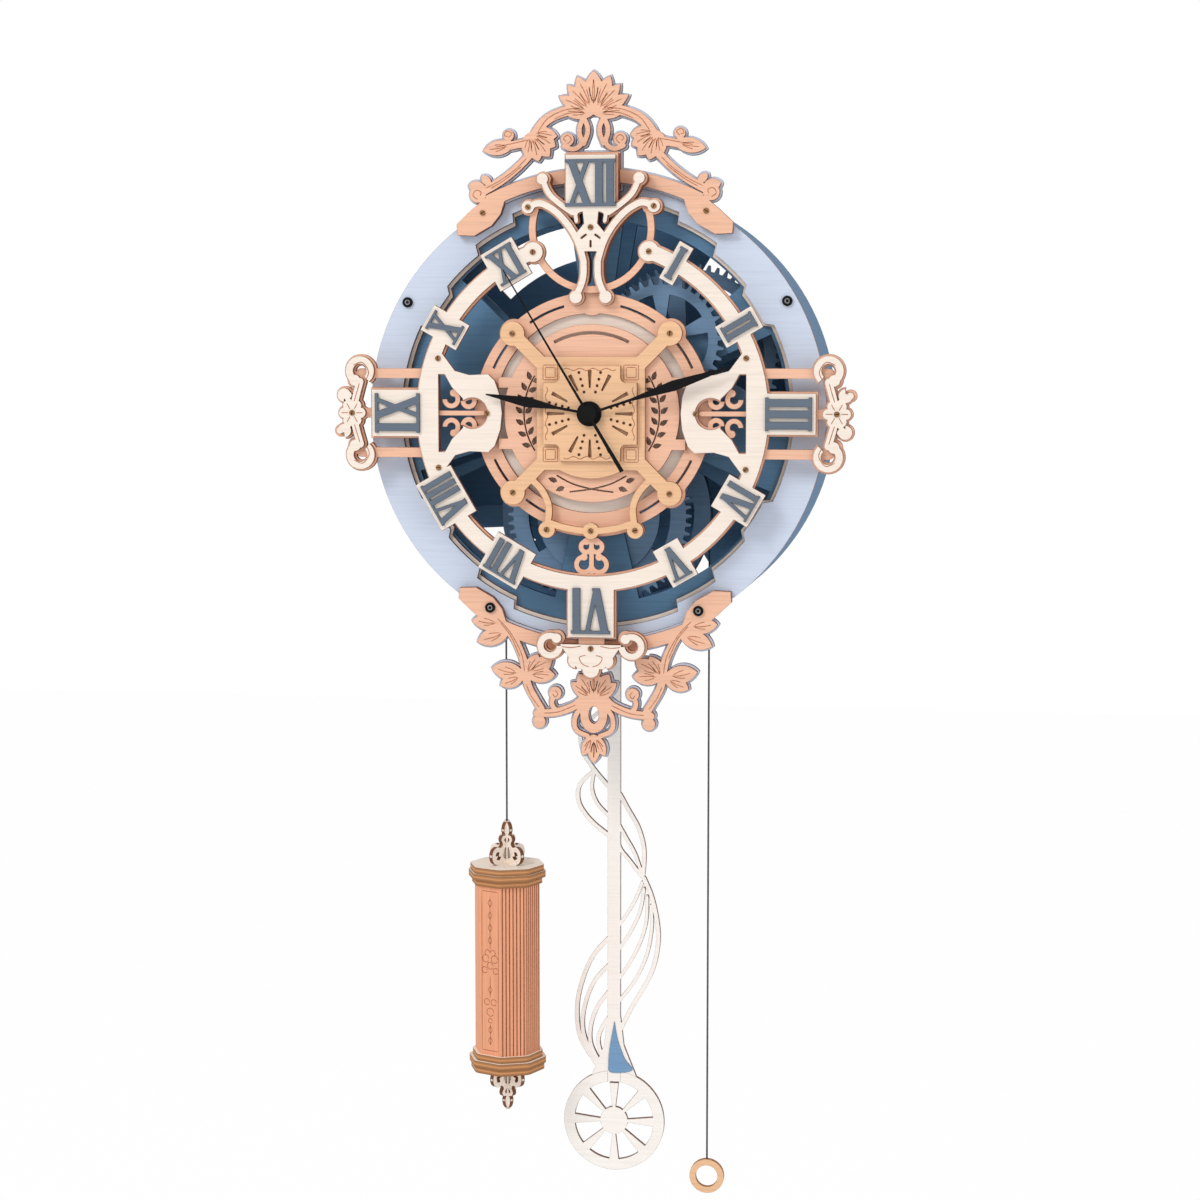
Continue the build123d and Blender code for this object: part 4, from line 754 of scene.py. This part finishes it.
# The plain side at the column's front left, and the one opposite, are engraved with a thin
# frame and a string of diamonds and scrolls.
panel_sides = (3, 7)
panel_half = 6.3
panel_high = 51.5
panel_width = 0.4
diamond_places = (44.0, 36.0, 28.0, 20.0, -12.0, -38.0, -45.0)
diamond_half = 1.5
diamond_high = 2.6
panel_rings = (
    (-3.4, 8.0, 2.4),
    (3.4, 8.0, 2.4),
    (-4.2, 0.5, 2.0),
    (4.2, 0.5, 2.0),
    (0.0, 3.6, 2.2),
    (-2.6, -20.0, 2.0),
    (2.6, -20.0, 2.0),
    (0.0, -26.5, 2.6),
    (0.0, -32.0, 1.5),
)
ring_points = 12
panel_lines = [
    [(-panel_half, -panel_high), (panel_half, -panel_high)],
    [(-panel_half, panel_high), (panel_half, panel_high)],
    [(-panel_half, -panel_high), (-panel_half, panel_high)],
    [(panel_half, -panel_high), (panel_half, panel_high)],
    [(0.0, 48.0), (0.0, 12.0)],
    [(0.0, -3.0), (0.0, -17.0)],
    [(0.0, -34.0), (0.0, -48.0)],
    [(0.0, 12.0), (-2.2, 14.0), (-4.0, 11.8), (-2.6, 10.0)],
    [(0.0, 12.0), (2.2, 14.0), (4.0, 11.8), (2.6, 10.0)],
]
for v in diamond_places:
    low_tips = [(0.0, v - diamond_high), (diamond_half, v)]
    high_tips = [(0.0, v + diamond_high), (-diamond_half, v)]
    panel_lines += closed_sides(low_tips + high_tips)
for u, v, radius in panel_rings:
    panel_lines.append(ring(u, v, radius, ring_points))
for side in panel_sides:
    start = weight_corner(side, column_across)
    end = weight_corner(side + 1, column_across)
    run = (end - start).normalized()
    middle = (start + end) / 2
    middle.z = weight_middle.z
    seat = (middle, run, (run.y, -run.x, 0.0))
    name = f"panel_engraving_{side}"
    lay_strips(name, "weight", seat, panel_lines, panel_width, groove_brown)

# The caps are three sheets of bare ply glued together at each end, the middle one the
# widest, with pale faces and scorched edges.
cap_ply = 4.0 * mm
cap_widths = (43.0, 47.0, 45.0)
cap_corner = 2.5
cap_corner_steps = 4
birch_face = (250, 234, 218)
birch_edge = (176, 124, 82)
birch_scorch = (120, 76, 50)
cap_birch = plywood("cap_birch", birch_face, birch_edge, birch_scorch, cream_contrast, "level")


def cap_sheet(name, across, low, high):
    """One octagonal sheet of a cap, with its corners rounded."""
    outline = []
    for side in range(column_sides):
        corner = weight_corner(side, across)
        before = (weight_corner(side - 1, across) - corner).normalized() * cap_corner * mm
        after = (weight_corner(side + 1, across) - corner).normalized() * cap_corner * mm
        for step in range(cap_corner_steps + 1):
            t = step / cap_corner_steps
            outline.append(corner + before * (1 - t) ** 2 + after * t**2)
    piece = new_piece(upright_block(name, outline, low, high), cap_birch)
    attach(piece, "weight")
    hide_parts("weight_caps")


for layer, across in enumerate(cap_widths):
    top = weight_high.z + layer * cap_ply
    foot = weight_low.z - layer * cap_ply
    cap_sheet(f"top_cap_{layer + 1}", across, top, top + cap_ply)
    cap_sheet(f"foot_cap_{layer + 1}", across, foot - cap_ply, foot)

# The finials are two scrolled plates of cream ply, slotted across each other on the cord's
# line, with a hole at the tip for the cord's knot.
finial_ply = 3.0
finial_outline = (
    (0.0, 0.0),
    (8.5, 0.0),
    (12.6, 1.6),
    (14.2, 5.4),
    (13.2, 9.6),
    (9.8, 11.6),
    (6.8, 11.0),
    (5.0, 13.0),
    (6.2, 15.8),
    (5.0, 18.2),
    (2.8, 18.6),
    (3.6, 21.0),
    (3.0, 24.6),
    (1.2, 27.2),
    (0.0, 28.0),
)
finial_holes = (
    ((8.2, 3.0), (11.2, 4.6), (10.6, 8.0), (8.2, 8.2), (8.6, 5.8), (6.6, 5.0)),
    ((2.4, 3.2), (4.6, 5.0), (3.8, 9.0), (2.4, 10.6)),
    ((2.2, 13.6), (3.8, 15.4), (2.6, 16.8)),
)
finial_eye = (0.0, 23.4, 1.3)
finial_turns = (35, 125)
finial_squareness = 0.995
weld_reach = 0.001 * mm


def smooth_loop(points):
    """Places along a smooth closed curve through the given ones."""
    return smooth_line(points + points[:1])[:-1]


def cut_plate(name, outline, holes, thick, origin, across, up):
    """The mesh of a plate cut to an outline with holes, in millimetres from its origin."""
    curve = bpy.data.curves.new(name, "CURVE")
    curve.dimensions = "2D"
    curve.fill_mode = "BOTH"
    curve.extrude = thick / 2
    for loop in (outline, *holes):
        spline = curve.splines.new("POLY")
        spline.points.add(len(loop) - 1)
        for point, (x, z) in zip(spline.points, loop):
            point.co = (x, z, 0.0, 1.0)
        spline.use_cyclic_u = True
    holder = bpy.data.objects.new(name, curve)
    mesh = bpy.data.meshes.new_from_object(holder)
    mesh.name = name
    bpy.data.objects.remove(holder)
    across, up = Vector(across), Vector(up)
    normal = across.cross(up)
    for vertex in mesh.vertices:
        x, z, rise = vertex.co
        vertex.co = Vector(origin) + (across * x + up * z + normal * rise) * mm
    work = bmesh.new()
    work.from_mesh(mesh)
    bmesh.ops.remove_doubles(work, verts=work.verts, dist=weld_reach)
    return finished(mesh, work)


finial_faces = [(sin(radians(turn)), cos(radians(turn)), 0.0) for turn in finial_turns]
sheet_lies["crossed"] = (finial_faces, "Y", finial_squareness)
finial_cream = plywood(
    "finial_cream", cream_face, cream_edge, cream_scorch, cream_contrast, "crossed"
)
finial_side = smooth_line(finial_outline)
finial_loop = finial_side + [(-x, z) for x, z in reversed(finial_side[1:-1])]
finial_cuts = []
for hole in finial_holes:
    cut = smooth_loop(hole)
    finial_cuts.append(cut)
    finial_cuts.append([(-x, z) for x, z in cut])
finial_cuts.append(ring(*finial_eye, ring_points))
caps_low, caps_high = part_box("weight_caps")
for end, height, up in (("top", caps_high.z, 1), ("foot", caps_low.z, -1)):
    for number, turn in enumerate(finial_turns):
        plate_mesh = cut_plate(
            f"{end}_finial_{number + 1}",
            finial_loop,
            finial_cuts,
            finial_ply,
            (weight_middle.x, weight_middle.y, height),
            (cos(radians(turn)), -sin(radians(turn)), 0.0),
            (0, 0, up),
        )
        plate = new_piece(plate_mesh, finial_cream)
        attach(plate, "weight")
        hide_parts("weight_finials")

# The pendulum's blade is one sheet of cream ply: a straight bar with slender ribbons that
# twist from side to side of it, an eye on the anchor's arbor, and a flare on the bob's rim.
blade_face = (255, 248, 241)
blade_edge = (120, 84, 66)
blade_scorch = (96, 66, 52)
blade_contrast = 0.03
blade_half = 4.2
blade_foot = -436.0
eye_radius = 7.0
eye_bore = 2.5
bob_centre = -462.0
bob_radius = 33.0
flare_top = -392.0
flare_waist = -412.0
flare_waist_half = 6.5
flare_low = -433.0
flare_half = 15.0
flare_steps = 12
circle_steps = 40
inside_rim = 1
snap_reach = 0.0001
ribbon_end_share = 0.55
fine_ribbon = 2.2
plain_ribbon = 2.6
broad_ribbon = 2.8

# Each ribbon is its width and the two halves of its line, from its upper end to its lower.
ribbons = (
    (
        plain_ribbon,
        ((-2.0, -188.0), (-13.0, -196.0), (-21.5, -206.0)),
        ((-20.5, -219.0), (-13.0, -231.0), (-3.0, -242.5)),
    ),
    (plain_ribbon, ((-13.0, -231.5), (-22.5, -241.0), (-23.0, -253.0)), ((-15.0, -264.5), (-3.0, -274.0))),
    (fine_ribbon, ((-13.0, -231.5), (-14.6, -243.0)), ((-11.0, -253.0), (-3.0, -261.5))),
    (plain_ribbon, ((3.2, -245.5), (9.0, -256.0), (16.0, -268.5)), ((19.6, -283.0), (18.8, -300.5))),
    (fine_ribbon, ((2.6, -254.0), (1.8, -263.0), (7.0, -273.5)), ((13.5, -285.0), (18.2, -298.5))),
    (fine_ribbon, ((2.2, -274.0), (4.0, -282.0)), ((10.0, -289.5), (18.6, -300.5))),
    (
        broad_ribbon,
        ((18.8, -299.5), (24.5, -313.0), (28.2, -330.0), (28.6, -345.0)),
        ((24.0, -364.0), (11.0, -387.5), (1.0, -408.0)),
    ),
    (fine_ribbon, ((18.6, -303.0), (14.0, -315.0)), ((8.0, -325.5), (2.0, -334.0))),
    (fine_ribbon, ((19.6, -307.0), (17.0, -322.5)), ((11.0, -336.0), (2.0, -350.0))),
    (fine_ribbon, ((21.6, -312.0), (20.8, -330.5), (15.5, -347.0)), ((8.0, -360.5), (1.5, -370.0))),
    (fine_ribbon, ((24.0, -318.0), (24.6, -334.0), (21.0, -352.5)), ((13.0, -369.5), (2.0, -384.0))),
    (
        broad_ribbon,
        ((-3.0, -340.5), (-14.0, -353.5), (-21.0, -370.0)),
        ((-24.4, -388.0), (-22.0, -408.0), (-10.0, -427.0)),
    ),
    (
        plain_ribbon,
        ((-3.0, -358.5), (-13.0, -370.0), (-19.0, -385.0)),
        ((-20.8, -400.0), (-17.0, -414.0), (-8.0, -428.0)),
    ),
    (plain_ribbon, ((-3.0, -376.0), (-11.0, -387.0), (-15.4, -400.0)), ((-15.0, -413.0), (-7.0, -428.0))),
    (plain_ribbon, ((-3.0, -393.0), (-8.6, -402.0)), ((-10.4, -411.0), (-6.0, -426.0))),
)


def ribbon_shape(width, line):
    """The outline of a strip of ply along a line, drawn in a little at its ends."""
    path = smooth_line(line)
    last = len(path) - 1
    right_side = []
    left_side = []
    for index, ((x, z), run) in enumerate(zip(path, directions_along(path))):
        half = width / 2 * (ribbon_end_share if index in (0, last) else 1.0)
        right_side.append((x + half * run.y, z - half * run.x))
        left_side.append((x - half * run.y, z + half * run.x))
    return right_side + left_side[::-1]


def merged_sheet(name, shapes, bore, front, back):
    """The mesh of a sheet as wide as all its shapes together, with a round bore."""
    corners = []
    loops = []
    for shape in shapes:
        loops.append(list(range(len(corners), len(corners) + len(shape))))
        corners += [Vector(place) for place in shape]
    first = len(corners)
    corners += [Vector(place) for place in ring(*bore, circle_steps)]
    rim = [(first + step, first + (step + 1) % circle_steps) for step in range(circle_steps)]
    joined = delaunay_2d_cdt(corners, rim, loops, inside_rim, snap_reach)
    flat, _, triangles, _, _, shapes_under = joined
    work = bmesh.new()
    fronts = [work.verts.new((place.x * mm, front, dial_z + place.y * mm)) for place in flat]
    backs = [work.verts.new((place.x * mm, back, dial_z + place.y * mm)) for place in flat]
    bore_middle = Vector(bore[:2])
    sides = {}
    for triangle, under in zip(triangles, shapes_under):
        centre = sum((flat[corner] for corner in triangle), Vector((0.0, 0.0))) / 3
        if not under or (centre - bore_middle).length < bore[2]:
            continue
        work.faces.new([fronts[corner] for corner in triangle])
        work.faces.new([backs[corner] for corner in reversed(triangle)])
        for start, end in zip(triangle, triangle[1:] + triangle[:1]):
            if (end, start) in sides:
                del sides[(end, start)]
            else:
                sides[(start, end)] = True
    for start, end in sides:
        work.faces.new((fronts[end], fronts[start], backs[start], backs[end]))
    loose = [vertex for vertex in work.verts if not vertex.link_faces]
    bmesh.ops.delete(work, geom=loose, context="VERTS")
    return finished(bpy.data.meshes.new(name), work)


blade_cream = plywood("blade_cream", blade_face, blade_edge, blade_scorch, blade_contrast)
dress(blade_cream, "pendulum_bob")
rod_low, rod_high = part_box("pendulum_rod")
eye_z = (rod_high.z - dial_z) / mm - eye_radius
flare_across = [flare_half * (2 * step / flare_steps - 1) for step in range(flare_steps + 1)]
flare_left = [(-blade_half, flare_top), (-flare_waist_half, flare_waist), (-flare_half, flare_low)]
flare_rim = [(x, bob_centre + (bob_radius**2 - x**2) ** 0.5) for x in flare_across]
flare_right = [(-x, z) for x, z in reversed(flare_left)]
bar = [
    (-blade_half, blade_foot),
    (blade_half, blade_foot),
    (blade_half, eye_z),
    (-blade_half, eye_z),
]
blade_shapes = [ribbon_shape(width, upper + lower) for width, upper, lower in ribbons]
blade_shapes += [flare_left + flare_rim + flare_right, bar]
blade_shapes.append(ring(0.0, eye_z, eye_radius, circle_steps))
blade_bore = (0.0, eye_z, eye_bore)
blade_mesh = merged_sheet("pendulum_blade", blade_shapes, blade_bore, rod_low.y, rod_high.y)
blade = new_piece(blade_mesh, blade_cream)
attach(blade, "pendulum")
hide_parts("pendulum_rod")

# A wedge of thin blue ply is glued on to the flare's front, where the ribbons come together
# again above the bob.
wedge_face = (120, 158, 196)
wedge_ply = 0.5
wedge_outline = (
    (0.4, -396.0),
    (2.6, -408.0),
    (7.0, -420.0),
    (12.0, -428.0),
    (-2.0, -430.0),
    (-3.6, -424.0),
    (-2.6, -412.0),
)
wedge_mesh = cut_plate(
    "pendulum_wedge",
    smooth_loop(wedge_outline),
    (),
    wedge_ply,
    (0.0, rod_low.y - wedge_ply / 2 * mm, dial_z),
    (1, 0, 0),
    (0, 0, 1),
)
wedge_blue = plywood("wedge_blue", wedge_face, blue_edge, blue_scorch)
wedge = new_piece(wedge_mesh, wedge_blue)
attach(wedge, "pendulum")

# The cord is one thin braided line. It runs up from the weight, over the cord wheel and
# down to the ring, and both hanging stretches are pulled straight.
cord_colour = (84, 80, 80)
cord_roughness = 0.8
cord_steps = 24
cord_sides = 10
cord_black = painted("cord_black", cord_colour, cord_roughness)
dress(cord_black, "sheave_cord")


def hanging_cord(name, node, body, far_end, *on_its_end):
    """A round upright cord in the place of its CAD node, from its low end to its high end."""
    low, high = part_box(node)
    centre_x = (low.x + high.x) / 2
    centre_y = (low.y + high.y) / 2
    radius = (high.x - low.x) / 2
    heights = [low.z + (high.z - low.z) * step / cord_steps for step in range(cord_steps + 1)]
    rim = ring(centre_x, centre_y, radius, cord_sides)
    points = [(x, y, height) for height in heights for x, y in rim]
    faces = []
    for step in range(cord_steps):
        for side in range(cord_sides):
            a = step * cord_sides + side
            b = step * cord_sides + (side + 1) % cord_sides
            faces.append((a, b, b + cord_sides, a + cord_sides))
    faces.append(tuple(reversed(range(cord_sides))))
    faces.append(tuple(range(cord_steps * cord_sides, (cord_steps + 1) * cord_sides)))
    piece = new_piece(mesh_of(name, points, faces), cord_black)
    for polygon in piece.data.polygons:
        polygon.use_smooth = len(polygon.vertices) == 4
    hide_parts(node)
    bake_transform(piece)


hanging_cord("weight_line", "weight_cord", "weight", "object")
hanging_cord("pull_line", "pull_cord", "pull", "fitting", nodes["pull_ring"])

# The pale floor lies well below the clock. The camera and polished metal see it nearly
# white, and it keeps the clock's soft shadow.
floor_drop = 0.25
floor_size = 8.0
floor_whiteness = 0.97
floor_colour = (246, 246, 248)
floor_roughness = 0.9
floor_z = cad_low.z - floor_drop


def seen_share(tree, *rays):
    """1 for the rays of these kinds, and 0 for all others."""
    path = add_node(tree, "ShaderNodeLightPath")
    seen = path.outputs[rays[0]]
    for ray in rays[1:]:
        seen = computed(tree, "MAXIMUM", seen, path.outputs[ray])
    return seen


def chosen_shader(tree, factor, first, second):
    """The first shader where the factor is 0, and the second where it is 1."""
    choice = add_node(tree, "ShaderNodeMixShader")
    link(tree, factor, choice.inputs[0])
    link(tree, first.outputs[0], choice.inputs[1])
    link(tree, second.outputs[0], choice.inputs[2])
    return choice.outputs[0]


bpy.ops.mesh.primitive_grid_add(
    size=floor_size, x_subdivisions=2, y_subdivisions=2, location=(0, 0, floor_z)
)
floor = bpy.context.object
floor.name = "floor"
floor_material, floor_tree, floor_shader = new_finish("pale_floor", floor_roughness, plain_gloss)
floor_shader.inputs["Base Color"].default_value = linear(floor_colour)
glow = add_node(floor_tree, "ShaderNodeEmission")
floor_seen = seen_share(floor_tree, "Is Camera Ray", "Is Glossy Ray")
glow_share = computed(floor_tree, "MULTIPLY", floor_seen, floor_whiteness)
floor_surface = chosen_shader(floor_tree, glow_share, floor_shader, glow)
link(floor_tree, floor_surface, floor_tree.nodes["Material Output"].inputs["Surface"])
floor.data.materials.append(floor_material)

# The room behind is plain white where it is seen. It lights the clock a little less than
# that, so that the pale sheets don't clip.
sky_strength = 0.68
backdrop_strength = 1.0
world = bpy.data.worlds.new("white_room")
bpy.context.scene.world = world
world.use_nodes = True
room = world.node_tree
room.nodes.clear()


def white_light(strength):
    """A plain white background of some strength."""
    light = add_node(room, "ShaderNodeBackground")
    light.inputs["Color"].default_value = linear(white)
    light.inputs["Strength"].default_value = strength
    return light


room_seen = seen_share(room, "Is Camera Ray", "Is Glossy Ray", "Is Transmission Ray")
room_light = chosen_shader(room, room_seen, white_light(sky_strength), white_light(backdrop_strength))
output = add_node(room, "ShaderNodeOutputWorld")
link(room, room_light, output.inputs["Surface"])

# Soft studio light comes from a large key lamp at the upper left and a weaker, wider one at
# the right. Both face the dial.
dial_front = -0.0973
dial_centre = Vector((0.0, dial_front, dial_z))
key_place = (-1.1, -1.8, 1.3)
key_size = 0.8
key_power = 21.0
fill_place = (1.6, -1.6, 0.2)
fill_size = 1.2
fill_power = 6.0


def lamp(name, place, size, power):
    """A square lamp that faces the dial."""
    light = bpy.data.lights.new(name, "AREA")
    light.size = size
    light.energy = power
    holder = bpy.data.objects.new(name, light)
    holder.location = place
    holder.rotation_euler = (dial_centre - Vector(place)).to_track_quat("-Z", "Y").to_euler()
    bpy.context.scene.collection.objects.link(holder)


lamp("key_lamp", key_place, key_size, key_power)
lamp("fill_lamp", fill_place, fill_size, fill_power)

# The camera stands a little to the right of the clock and above its dial. The dial's centre
# falls on its pixel of the photograph, and a pixel there is as wide as in the photograph.
photo_width = 1200
photo_scale = 0.60 * mm
photo_dial = (590.6, 413.6)
view_turn = radians(9.5)
view_rise = radians(5.5)
view_distance = 1.5
film = 36.0
right = Vector((cos(view_turn), sin(view_turn), 0.0))
away_level = Vector((-sin(view_turn), cos(view_turn), 0.0))
away = away_level * cos(view_rise) - Vector((0.0, 0.0, sin(view_rise)))
up = right.cross(away)
aim_right = (photo_width / 2 - photo_dial[0]) * photo_scale
aim_down = (photo_width / 2 - photo_dial[1]) * photo_scale
aim = dial_centre + right * aim_right - up * aim_down
camera_data = bpy.data.cameras.new("photo_camera")
camera_data.sensor_width = film
camera_data.lens = film * view_distance / (photo_width * photo_scale)
camera = bpy.data.objects.new("photo_camera", camera_data)
camera.location = aim - away * view_distance
camera.rotation_euler = away.to_track_quat("-Z", "Y").to_euler()
bpy.context.scene.collection.objects.link(camera)
bpy.context.scene.camera = camera
bpy.context.scene.view_settings.view_transform = "Standard"
